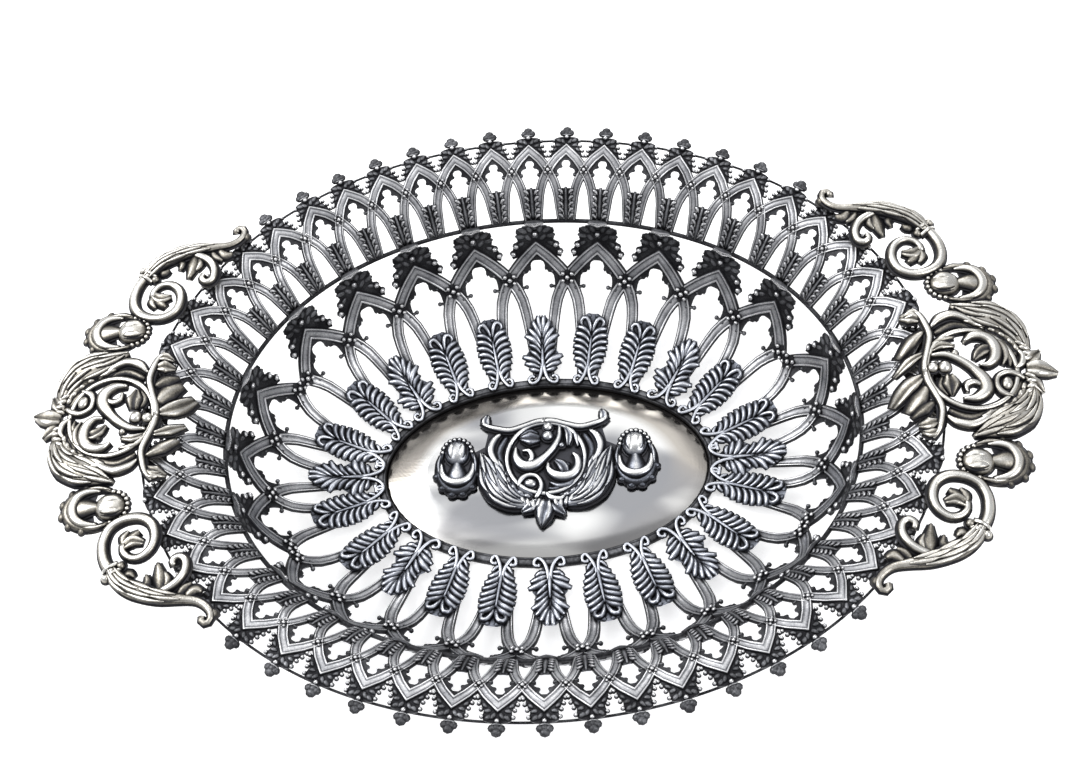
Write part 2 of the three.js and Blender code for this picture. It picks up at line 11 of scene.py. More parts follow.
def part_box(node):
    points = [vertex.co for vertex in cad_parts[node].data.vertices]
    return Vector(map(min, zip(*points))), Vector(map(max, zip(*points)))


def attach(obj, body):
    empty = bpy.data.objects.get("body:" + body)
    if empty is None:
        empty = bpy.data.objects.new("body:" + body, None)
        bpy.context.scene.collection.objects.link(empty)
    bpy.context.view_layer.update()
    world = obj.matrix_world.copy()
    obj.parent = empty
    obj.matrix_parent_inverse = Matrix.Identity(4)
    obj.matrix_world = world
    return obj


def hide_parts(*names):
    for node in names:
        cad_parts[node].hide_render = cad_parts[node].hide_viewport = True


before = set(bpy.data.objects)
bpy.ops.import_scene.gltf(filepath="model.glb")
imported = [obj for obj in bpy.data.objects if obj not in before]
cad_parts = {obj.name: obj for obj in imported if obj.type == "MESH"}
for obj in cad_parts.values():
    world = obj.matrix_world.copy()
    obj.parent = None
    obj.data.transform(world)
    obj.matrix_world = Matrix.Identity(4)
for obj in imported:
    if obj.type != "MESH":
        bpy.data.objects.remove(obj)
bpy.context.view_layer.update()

bl_info = {
    "name": "Openwork Silver Basket",
    "version": (1, 0, 0),
    "blender": (4, 5, 0),
    "location": "3D View > Sidebar > Basket",
    "description": "Models the castings, wires and polished plate of an oval openwork basket",
    "category": "Object",
}

MM = 0.001
TURN = 2 * math.pi
WELD = 1e-4

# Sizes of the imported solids, in millimetres
PLATE_HALF_LENGTH = 58.6
PLATE_HALF_WIDTH = 34.8
PLATE_INSET = 1.6
SHOULDER_OFFSET = 45.0
SHOULDER_HEIGHT = 37.1
BOWL_FOOT = (1.6, 0.9)
FLARE_BEND = (9.1, 16.7)
FLARE_REACH = 22.4
FLARE_RISE = 17.0
LOWER_SIDE_BAYS = 9
LOWER_END_BAYS = 3
LOWER_SEAM = 4.8
UPPER_BAYS = 13
UPPER_SEAM = 0.9
CREST_STANDOUT = 8.5
CREST_TIP = 26.0
WREATH_RADIUS = 13.7
ROUNDEL = (1.6, 31.2)
HANDLE_HALF_SPAN = 75.0
HANDLE_LIFT = 3.4
HANDLE_DROOP = 2.5
ORNAMENT_SHIFT = 3.5
# Height of the plate's top at shares of its radius
PLATE_TOP = [(0.0, 1.35), (0.3, 1.4), (0.5, 1.55), (0.66, 1.8), (0.74, 1.88), (0.8, 1.8), (0.86, 1.58),
             (0.92, 1.2), (0.96, 0.85), (1.0, 0.45)]

# How the looks sit on the walls, in millimetres; the crossing is a share of the slant
CROSSING_LEVEL = 0.615
LEAF_SEAT = 1.2
ORNAMENT_SEAT = 1.6
HEM_WIDTH = 0.45
HEM_DROP = 0.5
LARGE_BEAD = 1.6
SIDES = ("right", "far", "left", "near")


# Paths and walls

def spread(values, shares):
    """Values spread evenly from 0 to 1, read off at each share."""
    values = np.atleast_1d(values)
    if len(values) == 1:
        return values[0] + 0 * shares
    return np.interp(shares, np.linspace(0, 1, len(values)), values)


def smooth_line(knots, count):
    """Evenly spaced places on a smooth line through the knots."""
    knots = np.array([[*knot, 0.0][:3] for knot in knots], float)
    ends = np.vstack([2 * knots[0] - knots[1], knots, 2 * knots[-1] - knots[-2]])
    t = np.linspace(0, 1, 10, endpoint=False)[:, None]
    runs = []
    for a, b, c, d in zip(ends, ends[1:], ends[2:], ends[3:]):
        runs.append(b + 0.5 * t * (c - a + t * (2 * a - 5 * b + 4 * c - d + t * (3 * b - a - 3 * c + d))))
    line = np.vstack([*runs, knots[-1:]])
    reach = np.r_[0, np.cumsum(np.linalg.norm(np.diff(line, axis=0), axis=1))]
    return np.column_stack([np.interp(np.linspace(0, reach[-1], count), reach, axis) for axis in line.T])


def directions(line, closed=False):
    """Unit plan directions along a line."""
    if closed:
        ahead = np.roll(line[:-1], -1, axis=0) - np.roll(line[:-1], 1, axis=0)
        ahead = np.vstack([ahead, ahead[:1]])
    else:
        ahead = np.gradient(line, axis=0)
    return ahead / np.hypot(ahead[:, 0], ahead[:, 1])[:, None]


def oval(angle, offset):
    """Plan point at an offset outside the plate's edge."""
    normal = np.array([PLATE_HALF_WIDTH * np.cos(angle), PLATE_HALF_LENGTH * np.sin(angle)])
    edge = np.array([PLATE_HALF_LENGTH * np.cos(angle), PLATE_HALF_WIDTH * np.sin(angle)])
    return edge + offset * normal / np.hypot(*normal)


def offset_at(x, y):
    """Distance of plan points from the plate's edge, positive outside. Each turn of the loop comes nearer
    to the nearest point."""
    slack = PLATE_HALF_LENGTH ** 2 - PLATE_HALF_WIDTH ** 2
    angle = np.arctan2(PLATE_HALF_LENGTH * y, PLATE_HALF_WIDTH * x)
    for _ in range(12):
        cos, sin = np.cos(angle), np.sin(angle)
        error = slack * cos * sin - x * PLATE_HALF_LENGTH * sin + y * PLATE_HALF_WIDTH * cos
        rate = slack * (cos * cos - sin * sin) - x * PLATE_HALF_LENGTH * cos - y * PLATE_HALF_WIDTH * sin
        angle = angle - error / rate
    foot, out = oval(angle, 0), oval(angle, 1)
    return (x - foot[0]) * (out - foot)[0] + (y - foot[1]) * (out - foot)[1]


class Course:
    """The oval at one offset, measured along its length every tenth of a degree."""

    def __init__(self, offset):
        self.angles = np.linspace(0, TURN, 3601)
        line = oval(self.angles, offset)
        self.reach = np.r_[0, np.cumsum(np.hypot(*np.diff(line, axis=1)))]
        self.length = self.reach[-1]

    def angle(self, distance):
        return np.interp(np.mod(distance, self.length), self.reach, self.angles)


class Wall:
    """A wall of the basket, from the line that its section follows up and out. A flat casting is laid on it
    by its distance along, its height up the slant and how proud it stands."""

    def __init__(self, offsets, heights):
        self.line = np.array([offsets, heights])
        self.reach = np.r_[0, np.cumsum(np.hypot(*np.diff(self.line, axis=1)))]
        self.slant = self.reach[-1]
        self.slope = np.gradient(self.line, self.reach, axis=1)
        self.slope /= np.hypot(*self.slope)
        self.crossing = Course(np.interp(CROSSING_LEVEL * self.slant, self.reach, self.line[0]))

    def place(self, centre, along, height, proud):
        """Places in the basket; above and below the wall they go straight on."""
        level = np.clip(height, 0, self.slant)
        offset, rise = (np.interp(level, self.reach, axis) for axis in self.line)
        out, up = (np.interp(level, self.reach, axis) for axis in self.slope)
        beyond = height - level
        plan = oval(self.crossing.angle(centre - along), offset + out * beyond - up * proud)
        return np.column_stack([*plan, rise + up * beyond + out * proud])

    def lay(self, centre, shift=0.0, height=0.0, hand=1):
        """Lays a casting down at a distance from the middle of a panel."""
        return lambda flat: self.place(centre, hand * (flat[:, 0] + shift), flat[:, 1] + height, flat[:, 2])

    def true_width(self, centre, seat):
        """Lays a casting down at its real width, however much the wall narrows towards its foot."""
        def place(flat):
            along, height, proud = flat.T
            half, none = np.full_like(height, 0.5), 0 * height
            one_wide = self.place(centre, half, height, none) - self.place(centre, -half, height, none)
            return self.place(centre, along / np.linalg.norm(one_wide, axis=1), height, proud + seat)
        return place


quarter = np.linspace(0, TURN / 4, 400)
bowl = Wall(BOWL_FOOT[0] + (SHOULDER_OFFSET - BOWL_FOOT[0]) * np.sin(quarter),
            BOWL_FOOT[1] + (SHOULDER_HEIGHT - BOWL_FOOT[1]) * (1 - np.cos(quarter)))
run = np.linspace(0, 1, 80)
flare = Wall(SHOULDER_OFFSET + 2 * run * (1 - run) * FLARE_BEND[0] + run ** 2 * FLARE_REACH,
             SHOULDER_HEIGHT + 2 * run * (1 - run) * FLARE_BEND[1] + run ** 2 * FLARE_RISE)
rim_offset = SHOULDER_OFFSET + FLARE_REACH
crest_x = PLATE_HALF_LENGTH + rim_offset + CREST_STANDOUT
lower_pitch = (bowl.crossing.length - 4 * LOWER_SEAM) / (2 * (LOWER_SIDE_BAYS + LOWER_END_BAYS))
upper_pitch = (flare.crossing.length / 4 - UPPER_SEAM) / UPPER_BAYS


def lower_bays(i):
    """The middle of a panel of the bowl and the distance of each of its bays from there."""
    count = LOWER_SIDE_BAYS if i % 2 else LOWER_END_BAYS
    return i * bowl.crossing.length / 4, [(k - (count - 1) / 2) * lower_pitch for k in range(count)]


def handle_level(x, y):
    """Height of the handles, which lie over the flaring wall and droop a little from the rim to the tip."""
    offset = offset_at(x, y)
    outside = np.maximum(offset - rim_offset, 0) / (CREST_STANDOUT + CREST_TIP)
    return np.interp(offset, *flare.line) + HANDLE_LIFT - HANDLE_DROOP * outside ** 2


def on_handle(end, hand=1, shift=0.0):
    """Lays a flat casting on the handle at one end (1 right, -1 left); a hand of -1 turns it over."""
    def place(flat):
        x, y, z = flat[:, 0] + shift, hand * flat[:, 1], flat[:, 2]
        return np.column_stack([end * x, end * y, handle_level(np.abs(x), y) + z])
    return place


def plate_share(x, y):
    """How far plan points lie from the plate's middle, as shares of its radius."""
    return np.hypot(x / (PLATE_HALF_LENGTH - PLATE_INSET), y / (PLATE_HALF_WIDTH - PLATE_INSET))


def plate_top(x, y):
    """Height of the dished plate's top."""
    return np.interp(plate_share(x, y), *zip(*PLATE_TOP))


def on_plate(flat):
    """Lays the ornament on the plate, its tip towards the near side."""
    x, y = flat[:, 1], ORNAMENT_SHIFT - flat[:, 0]
    return np.column_stack([x, y, plate_top(x, y) + ORNAMENT_SEAT + flat[:, 2]])


def in_place(flat):
    """Leaves a casting where it was modelled."""
    return flat


# Sections: across and up as shares of a bar's half-width and rise, and each line's darkness from 0 to 1:
# rubbed bright tops, and dark sides that are partly oxide and partly painted shade.
# The castings' plain backs are grey.

BACK = 0.3


def two_sided(half, back):
    """A section with two like sides, from its middle outwards, and its back."""
    middle = half[:1] if half[0][0] == 0 else []
    side = half[len(middle):]
    return [*((-across, up, tarnish_and_shade) for across, up, tarnish_and_shade in side[::-1]), *middle, *side, (0, back, BACK)]


ROUND = two_sided([(-0.25, 0.97, -0.05), (-0.52, 0.85, 0.2), (-0.78, 0.62, 0.85), (-0.96, 0.28, 1),
                   (-1, -0.3, 1)], -0.9)
HEM = two_sided([(1, 0.4, 1), (1, -0.6, 0.7)], -0.6)
REEDED = two_sided([(0.1, 0.84, 0.27), (0.3, 0.76, 0.38), (0.46, 0.68, 0.72), (0.59, 0.86, 0.3),
                    (0.72, 1, -0.15), (0.86, 0.75, 0.88), (1, 0.25, 1), (1, -0.6, 1)], -0.6)
RIDGED = two_sided([(0, 1, -0.1), (0.45, 0.8, 0.2), (0.85, 0.25, 0.85), (1, -0.3, 1)], -0.5)
CREASED = two_sided([(0, 1, -0.12), (0.42, 0.72, 0.44), (0.9, 0.3, 0.8), (1, -0.3, 1)], -0.5)
VEINED = two_sided([(0.12, 0.5, 0.62), (0.55, 1, -0.05), (0.9, 0.3, 0.75), (1, -0.3, 1)], -0.5)
# Twelve lines over a dome, high and bright in turn with low and grey
STRIATED = [(-1, -0.4, 1), *(
    (-1 + (i + 0.5) / 6, (0.3 + 0.7 * math.sin(math.pi * (i + 0.5) / 12)) * (1 - 0.1 * (i % 2)),
     0.1 + 0.3 * (i % 2) + 0.6 * (abs(i - 5.5) / 5.5) ** 4) for i in range(12)), (1, -0.4, 1),
            (0, -0.5, BACK)]


class Casting:
    """A casting modelled flat in millimetres; each vertex keeps how dark it is, from tarnish and from painted
    shade.
    A hem is a wider black ribbon below every sweep and bead: partly the unrubbed wall of the casting, partly
    painted shade that outlines each form."""

    def __init__(self, hem=0.0):
        self.hem = hem
        self.mesh = bmesh.new()
        self.tarnish_and_shade = self.mesh.verts.layers.float.new("tarnish_and_shade")

    def sweep(self, path, halves, section=ROUND, steps=8, rise=None, shade=0.0, closed=False, hem=None):
        """A section along a smooth path; half-widths and rises are spread evenly along it."""
        hem = self.hem if hem is None else hem
        # The hem: a black ribbon under the sweep, partly oxidised wall and partly painted shade round it.
        if hem:
            lowered = np.array([[*knot, 0.0][:3] for knot in path]) - (0, 0, HEM_DROP)
            self.sweep(lowered, np.atleast_1d(halves) + hem, HEM, steps, 0.5, closed=closed, hem=0)
        line = smooth_line(path, steps + 1)
        ahead = directions(line, closed)
        shares = np.linspace(0, 1, steps + 1)
        half = spread(halves, shares)[:, None]
        tall = half if rise is None else spread(rise, shares)[:, None]
        loop = np.array([*section, section[0]], float)
        rings = np.empty((steps + 1, len(loop), 3))
        rings[..., 0] = line[:, :1] - ahead[:, 1:2] * half * loop[:, 0]
        rings[..., 1] = line[:, 1:2] + ahead[:, :1] * half * loop[:, 0]
        rings[..., 2] = line[:, 2:3] + tall * loop[:, 1]
        if not closed:
            caps = [np.broadcast_to(ring.mean(axis=0), (1, *ring.shape)) for ring in (rings[0], rings[-1])]
            rings = np.concatenate([caps[0], rings, caps[1]])
        grid = bmesh.ops.create_grid(self.mesh, x_segments=len(loop) - 1, y_segments=len(rings) - 1,
                                     size=1)["verts"]
        for vert, place, tarnish_and_shade in zip(grid, rings.reshape(-1, 3), np.tile(loop[:, 2] + shade, len(rings))):
            vert.co = place
            vert[self.tarnish_and_shade] = min(tarnish_and_shade, 1)
            for face in vert.link_faces:
                face.smooth = True
        bmesh.ops.remove_doubles(self.mesh, verts=grid, dist=WELD)

    def sweeps(self, rows):
        """Sweeps with as many steps as suit their knots."""
        for path, halves, section, rise, shade in rows:
            self.sweep(path, halves, section, 5 * len(path) - 7, rise, shade)

    def bead(self, x, y, radius, lift=0.0, rise=None, tarnish_and_shade=(-0.15, 0.8), turn=0.0, long=None):
        """A round or oval bead, rubbed brighter on its top and darker round its edge, partly oxide and partly
        painted shade. Small beads come by the hundred and have few faces."""
        rise = radius if rise is None else rise
        # The hem: a black disc under the bead, partly oxidised wall and partly painted shade round it.
        if self.hem:
            self.hem, hem = 0, self.hem
            self.bead(x, y, radius + hem, lift - HEM_DROP, 0.6, (1, 1), turn, (long or radius) + hem)
            self.hem = hem
        shape = (Matrix.Translation((x, y, lift)) @ Matrix.Rotation(turn, 4, "Z")
                 @ Matrix.Diagonal((long or radius, radius, rise, 1)))
        around, up = (18, 12) if max(radius, long or 0) >= LARGE_BEAD else (8, 6)
        ball = bmesh.ops.create_uvsphere(self.mesh, u_segments=around, v_segments=up, radius=1, matrix=shape)
        for vert in ball["verts"]:
            height = np.clip((vert.co.z - lift) / rise, 0, 1)
            vert[self.tarnish_and_shade] = tarnish_and_shade[1] + (tarnish_and_shade[0] - tarnish_and_shade[1]) * height ** 0.7
            for face in vert.link_faces:
                face.smooth = True

    def plate(self, outline, low, high, tarnish_and_shade=1.0):
        """A flat sheet of metal cut to an outline."""
        floor = [self.mesh.verts.new((x, y, low)) for x, y in outline]
        face = self.mesh.faces.new(floor)
        made = bmesh.ops.extrude_face_region(self.mesh, geom=[face])["geom"]
        roof = [part for part in made if isinstance(part, bmesh.types.BMVert)]
        lid = [part for part in made if isinstance(part, bmesh.types.BMFace)]
        bmesh.ops.translate(self.mesh, verts=roof, vec=(0, 0, high - low))
        for vert in floor:
            vert[self.tarnish_and_shade] = BACK + 0.1
        for vert in roof:
            vert[self.tarnish_and_shade] = tarnish_and_shade
        bmesh.ops.triangulate(self.mesh, faces=[face, *lid])

    def both_halves(self, half_outline, low, high, tarnish_and_shade=1.0):
        """A sheet with two like halves, from the outline of its right one."""
        self.plate([*half_outline, *((-x, y) for x, y in reversed(half_outline))], low, high, tarnish_and_shade)

    def everything(self):
        """What the operators take as the whole of the mesh."""
        return [*self.mesh.verts, *self.mesh.edges, *self.mesh.faces]

    def cut_and_mirror(self):
        """Keeps the right half, cut on the middle line, and welds its mirror image to it."""
        bmesh.ops.bisect_plane(self.mesh, geom=self.everything(), dist=WELD, plane_co=(0, 0, 0),
                               plane_no=(1, 0, 0), clear_inner=True)
        self.mirror("X")

    def mirror(self, axis):
        """Adds the mirror image of all that is there."""
        bmesh.ops.mirror(self.mesh, geom=self.everything(), matrix=Matrix.Identity(4),
                         merge_dist=WELD, axis=axis)

    def spin_oval(self, section, offset, steps):
        """A moulding round the whole oval, from its section in offset, height and tarnish. It is spun so
        far out that its width counts for nothing, and is then wrapped round the oval."""
        far = 1000.0
        verts = [self.mesh.verts.new((far + across, 0, up)) for across, up, _ in section]
        for vert, (_, _, tarnish_and_shade) in zip(verts, section):
            vert[self.tarnish_and_shade] = tarnish_and_shade
        edges = [self.mesh.edges.new(pair) for pair in zip(verts, [*verts[1:], verts[0]])]
        bmesh.ops.spin(self.mesh, geom=[*verts, *edges], cent=(0, 0, 0), axis=(0, 0, 1), angle=TURN,
                       steps=steps, use_merge=True)
        course = Course(offset)
        for vert in self.mesh.verts:
            across = math.hypot(vert.co.x, vert.co.y) - far
            share = math.atan2(vert.co.y, vert.co.x) / TURN
            vert.co.x, vert.co.y = oval(course.angle(share * course.length), offset + across)
        for face in self.mesh.faces:
            face.smooth = True

    def master(self, name):
        """Ends the casting and gives its mesh, to be laid in place as often as the basket has it."""
        bmesh.ops.recalc_face_normals(self.mesh, faces=self.mesh.faces)
        data = bpy.data.meshes.new(name)
        self.mesh.to_mesh(data)
        self.mesh.free()
        return data


# The real finish of each material slot
FINISHES = {
    "polished_silver": "burnished_plate_silver", "silver_wire": "dark_drawn_wire_silver",
    "tracery_cast_silver": "oxidised_tracery_silver", "leaf_cast_silver": "rubbed_leaf_silver",
    "handle_cast_silver": "rubbed_handle_silver", "oxidised_cast_silver": "rubbed_ornament_silver",
}


def add_piece(node, castings, slot, name=None):
    """Joins castings, each with the way it is laid in place, into the piece that stands for a solid."""
    name = name or f"{node}_look"
    whole = bmesh.new()
    for master, place in castings:
        flat = np.empty(3 * len(master.vertices))
        master.vertices.foreach_get("co", flat)
        laid = master.copy()
        laid.vertices.foreach_set("co", place(flat.reshape(-1, 3)).ravel())
        whole.from_mesh(laid)
        bpy.data.meshes.remove(laid)
    bmesh.ops.scale(whole, vec=(MM, MM, MM), verts=whole.verts)
    bmesh.ops.recalc_face_normals(whole, faces=whole.faces)
    data = bpy.data.meshes.new(name)
    whole.to_mesh(data)
    whole.free()
    data.materials.append(bpy.data.materials[FINISHES[slot]])
    piece = bpy.data.objects.new(name, data)
    bpy.context.scene.collection.objects.link(piece)
    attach(piece, "root")
    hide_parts(node)


# Bays of the two bands: places are shares of the bay's width and of the slant

def lower_bay(sizes):
    """Two reeded bars that rise from the foot, a pointed arch with its dark web, and the leafy crown."""
    p, s, half, bead = lower_pitch, bowl.slant, sizes["lower_bar"] / 2, sizes["lower_bead"]
    at = lambda points: [(x * p, y * s, *z) for x, y, *z in points]
    bay = Casting()
    bay.sweep(at([(0.13, 0.02), (0.19, 0.2), (0.255, 0.38), (0.333, 0.505), (0.5, 0.615), (0.55, 0.642)]),
              half, REEDED, 11, 0.85)
    bay.sweep(at([(0.56, 0.577), (0.5, 0.615), (0.25, 0.716), (0.08, 0.778), (-0.1, 0.84)]),
              half, REEDED, 8, 0.9)
    web = [(-0.1, 0.82), (0.25, 0.73), (0.5, 0.63), (0.5, 0.585), (0.4, 0.545), (0.34, 0.49), (0.29, 0.49),
           (0.305, 0.53), (0.28, 0.56), (0.277, 0.6), (0.265, 0.625), (0.235, 0.64), (0.175, 0.645),
           (0.15, 0.66), (0.128, 0.655), (0.112, 0.668), (0.118, 0.69), (0.096, 0.71), (0.055, 0.72),
           (-0.1, 0.722)]
    bay.plate(at(web), -0.45, 0.35, 0.9)
    bay.sweep(at([(0.37, 0.55), (0.29, 0.556), (0.23, 0.56)]), [0.95, 0.6, 0.55], RIDGED, 4, shade=0.6)
    bay.bead(0.216 * p, 0.561 * s, 0.85, tarnish_and_shade=(0.6, 1))
    bay.bead(0.245 * p, 0.65 * s, 0.75, tarnish_and_shade=(0.65, 1))
    crown = [(-0.1, 0.8), (0.2, 0.76), (0.4, 0.735), (0.42, 0.76), (0.38, 0.8), (0.32, 0.84), (0.285, 0.85),
             (0.302, 0.868), (0.296, 0.885), (0.276, 0.894), (0.308, 0.912), (0.296, 0.937), (0.25, 0.94),
             (0.215, 0.938), (0.19, 0.958), (0.135, 0.96), (0.1, 0.953), (0.09, 0.98), (-0.1, 0.98)]
    bay.plate(at(crown), -0.5, 0.1, 0.92)
    for x, y, radius, long, turn in ((0.075, 0.938, 1.15, 1.7, 1.2), (0.19, 0.93, 1.15, 1.9, 0.7),
                                     (0.245, 0.885, 1, 1.7, 0.2), (0.12, 0.875, 0.95, 1.7, 0.9),
                                     (0.25, 0.83, 0.8, 1.6, -0.6), (0.02, 0.885, 0.8, 1.1, 1.5)):
        bay.bead(x * p, y * s, radius, 0.05, 0.62, (0.6, 0.97), turn, long)
    for x, y in ((0.322, 0.821), (0.382, 0.772)):
        bay.bead(x * p, y * s, 1.4 * bead, -0.1, 0.75, (0.9, 1))
        bay.bead(x * p, y * s, 1.05 * bead, 0.5, 0.95, (-0.15, 0.8))
    bay.cut_and_mirror()
    bay.bead(0, 0.912 * s, 1.3 * bead, 0.4, 0.7, (0.95, 1))
    bay.bead(0, 0.912 * s, bead, 0.95)
    bay.sweep(at([(0, 0.945, 0.2), (0, 0.985, 0.2)]), [1.8, 1.4], RIDGED, 1, 0.7, shade=0.7)
    return bay.master("lower_bay")


def lower_node(sizes):
    """Five beads on a dark diamond, where two bars cross."""
    node, bead = Casting(), sizes["lower_bead"]
    node.plate([(3.1, 0), (0, 3.2), (-3.1, 0), (0, -3.2)], -0.6, 1, 0.95)
    node.bead(0, 0, bead, 1.35)
    for x in (-1.6, 1.6):
        for y in (-1.35, 1.35):
            node.bead(x, y, 0.88 * bead, 1.2)
    return node.master("lower_node")


def stub(width, rise):
    """The end of a bar that is soldered to the next panel."""
    end = Casting()
    end.sweep([(-0.5, 0), (width, 0)], 1.3, REEDED, 2, rise)
    return end.master("stub")


def upper_bay(sizes, knobbed):
    """A narrower bay: reeded bars with a feathered leaf between their feet, a pointed arch with a trefoil
    web, a leafy crown and its knob."""
    p, s, half, bead = upper_pitch, flare.slant, sizes["upper_bar"] / 2, sizes["upper_bead"]
    at = lambda points: [(x * p, y * s, *z) for x, y, *z in points]
    bay = Casting()
    bay.sweep(at([(0.15, 0.03), (0.2, 0.2), (0.25, 0.36), (0.36, 0.5), (0.5, 0.605), (0.56, 0.645)]), half,
              REEDED, 7, 0.7)
    bay.sweep(at([(0.58, 0.55), (0.5, 0.61), (0.27, 0.742), (0.1, 0.81), (-0.12, 0.9)]),
              half, REEDED, 6, 0.75)
    web = [(-0.1, 0.86), (0.27, 0.75), (0.5, 0.64), (0.5, 0.58), (0.38, 0.5), (0.3, 0.43), (0.25, 0.43),
           (0.28, 0.49), (0.25, 0.53), (0.2, 0.545), (0.19, 0.565), (0.24, 0.58), (0.235, 0.61),
           (0.18, 0.628), (0.11, 0.635), (0.085, 0.65), (0.115, 0.672), (0.11, 0.7), (0.06, 0.722),
           (-0.1, 0.725)]
    bay.plate(at(web), -0.4, 0.3, 0.9)
    bay.sweep(at([(0.32, 0.555), (0.25, 0.56), (0.2, 0.563)]), [0.6, 0.45, 0.6], RIDGED, 2, shade=0.6)
    crown = [(-0.1, 0.85), (0.25, 0.79), (0.42, 0.75), (0.41, 0.8), (0.36, 0.86), (0.3, 0.9), (0.32, 0.95),
             (0.3, 1), (0.22, 1.015), (0.14, 1.02), (-0.1, 1.03)]
    bay.plate(at(crown), -0.45, 0.1, 0.92)
    for x, y, radius, long, turn in ((0.09, 0.955, 0.75, 1.3, 1), (0.2, 0.97, 0.8, 1.2, 0.5),
                                     (0.22, 0.905, 0.7, 1.2, 0.2), (0.3, 0.85, 0.6, 1.1, -0.7)):
        bay.bead(x * p, y * s, radius, 0.05, 0.55, (0.58, 0.97), turn, long)
    for x, y in ((0.335, 0.965), (0.365, 0.895), (0.425, 0.835), (0.465, 0.775)):
        bay.bead(x * p, y * s, 0.72, 0, 0.5, (0.9, 1))
        bay.bead(x * p, y * s, 0.56, 0.35, 0.6, (0, 0.85))
    for level in np.linspace(0.05, 0.34, 5):
        bay.sweep(at([(0.08, level, 0.5), (0.15, level + 0.04, 0.8), (0.225, level + 0.045, 0.5)]),
                  [0.4, 0.85, 0.55], RIDGED, 3, 0.5, shade=0.15)
    bay.plate(at([(-0.1, 0.01), (0.22, 0.01), (0.24, 0.2), (0.2, 0.38), (0.1, 0.405), (-0.1, 0.39)]),
              -0.3, 0.5, 0.85)
    bay.cut_and_mirror()
    bay.sweep(at([(0, 0.02, 0.5), (0, 0.2, 0.6), (0, 0.42, 0.5)]),
              [1, 1.05, 0.5], RIDGED, 4, 0.35, shade=0.55)
    bay.bead(0, 1.005 * s, 0.95, 0.35, 0.6, (0.9, 1))
    bay.bead(0, 1.005 * s, 1.15 * bead, 0.7)
    if knobbed:
        bay.plate([(-1.1, 1.01 * s), (1.1, 1.01 * s), (1.2, 1.08 * s), (-1.2, 1.08 * s)], -0.6, 0.4, 0.85)
        for x, y, radius in ((-1.15, 1.075, 1.25), (1.15, 1.075, 1.25), (0, 1.11, 1.55), (0, 1.065, 1.3)):
            bay.bead(x, y * s, radius, 0.05, 1, (0.72, 1))
        bay.sweep([(-1.5, 1.045 * s, 0.2), (0, 1.035 * s, 0.5), (1.5, 1.045 * s, 0.2)], [0.3, 0.5, 0.3],
                  RIDGED, 4, 0.5, 0.35)
    return bay.master("upper_bay")


def upper_node(sizes):
    """A bead between four small ones on a dark diamond."""
    node = Casting()
    node.plate([(1.6, 0), (0, 1.9), (-1.6, 0), (0, -1.9)], -0.5, 0.7, 0.8)
    node.bead(0, 0, 1.1 * sizes["upper_bead"], 0.9)
    for x, y in ((0.85, 0.9), (-0.85, 0.9), (0.85, -0.9), (-0.85, -0.9)):
        node.bead(x, y, 0.5, 0.75, tarnish_and_shade=(0, 0.8))
    return node.master("upper_node")


# Applied leaves

def volutes(leaf, reach):
    """The stem parts into two small scrolls that hook over the frame at a leaf's foot."""
    leaf.sweep([(0.42, 6.4, 0.5), (0.5, 3.4, 0.7), (0.95, 0.9, 0.7), (1.9, -1.3, 0.7),
                (0.7 * reach, -2.6, 0.7), (0.95 * reach, -2, 0.7), (reach, -0.4, 0.7),
                (reach - 1.1, 0.4, 0.7), (reach - 1.9, -0.4, 0.7)],
               [0.6, 0.82, 0.85, 0.8, 0.75, 0.75, 0.8], ROUND, 18)


def palm_leaf(sizes):
    """Seven pairs of leaflets rise steeply from the midrib and bend outwards, under two hooked lobes."""
    leaf, half, pitch = Casting(), sizes["palm_leaf"] / 2, 2.45
    for i, (width, shade) in enumerate(((0.76, 0.1), (0.9, -0.02), (0.98, 0.1), (1.02, 0), (1.03, 0.12),
                                        (0.98, 0.02), (0.9, 0.12))):
        x, y = width * half, 1.6 + pitch * i
        leaf.sweep([(0.3, y, 0.2), (0.26 * x, y + 1.9, 0.8), (0.62 * x, y + 3.3, 0.9), (x, y + 3.7, 0.35)],
                   [0.6, 1.15, 1.42, 0.95], CREASED, 7, [0.7, 1.05, 0.95, 0.5], shade)
    leaf.sweep([(0.5, 0.4, 0.3), (2.2, 1.5, 0.7), (3.4, 3.4, 0.4)], [0.5, 1, 0.6], RIDGED, 5, 0.8, 0.1)
    leaf.sweep([(0.4, 18.4, 0.3), (0.9, 21, 0.9), (2, 23.3, 0.9), (3.5, 23.4, 0.7), (4.3, 21.8, 0.5),
                (3.5, 20.6, 0.4)], [0.6, 0.95, 1, 0.95, 0.7], RIDGED, 9, 0.9)
    leaf.bead(1.5, 24.4, 1, 0.1, 0.6, (0.55, 1))
    volutes(leaf, sizes["volute"])
    leaf.mirror("X")
    leaf.sweep([(0, 1.2, 0.5), (0, 6, 0.8), (0, 12, 0.8), (0, 17, 0.4)], [0.6, 0.9, 0.7, 0.4], ROUND, 8,
               shade=0.3)
    shape = [(0.2, 0.6), (0.52, 2.8), (0.8, 6.4), (0.94, 12), (0.92, 17),
             (0.84, 21), (0.6, 24.2), (0.3, 25.2)]
    leaf.both_halves([(x * half, y) for x, y in shape], -0.3, 0.2, 0.5)
    return leaf.master("palm_leaf")


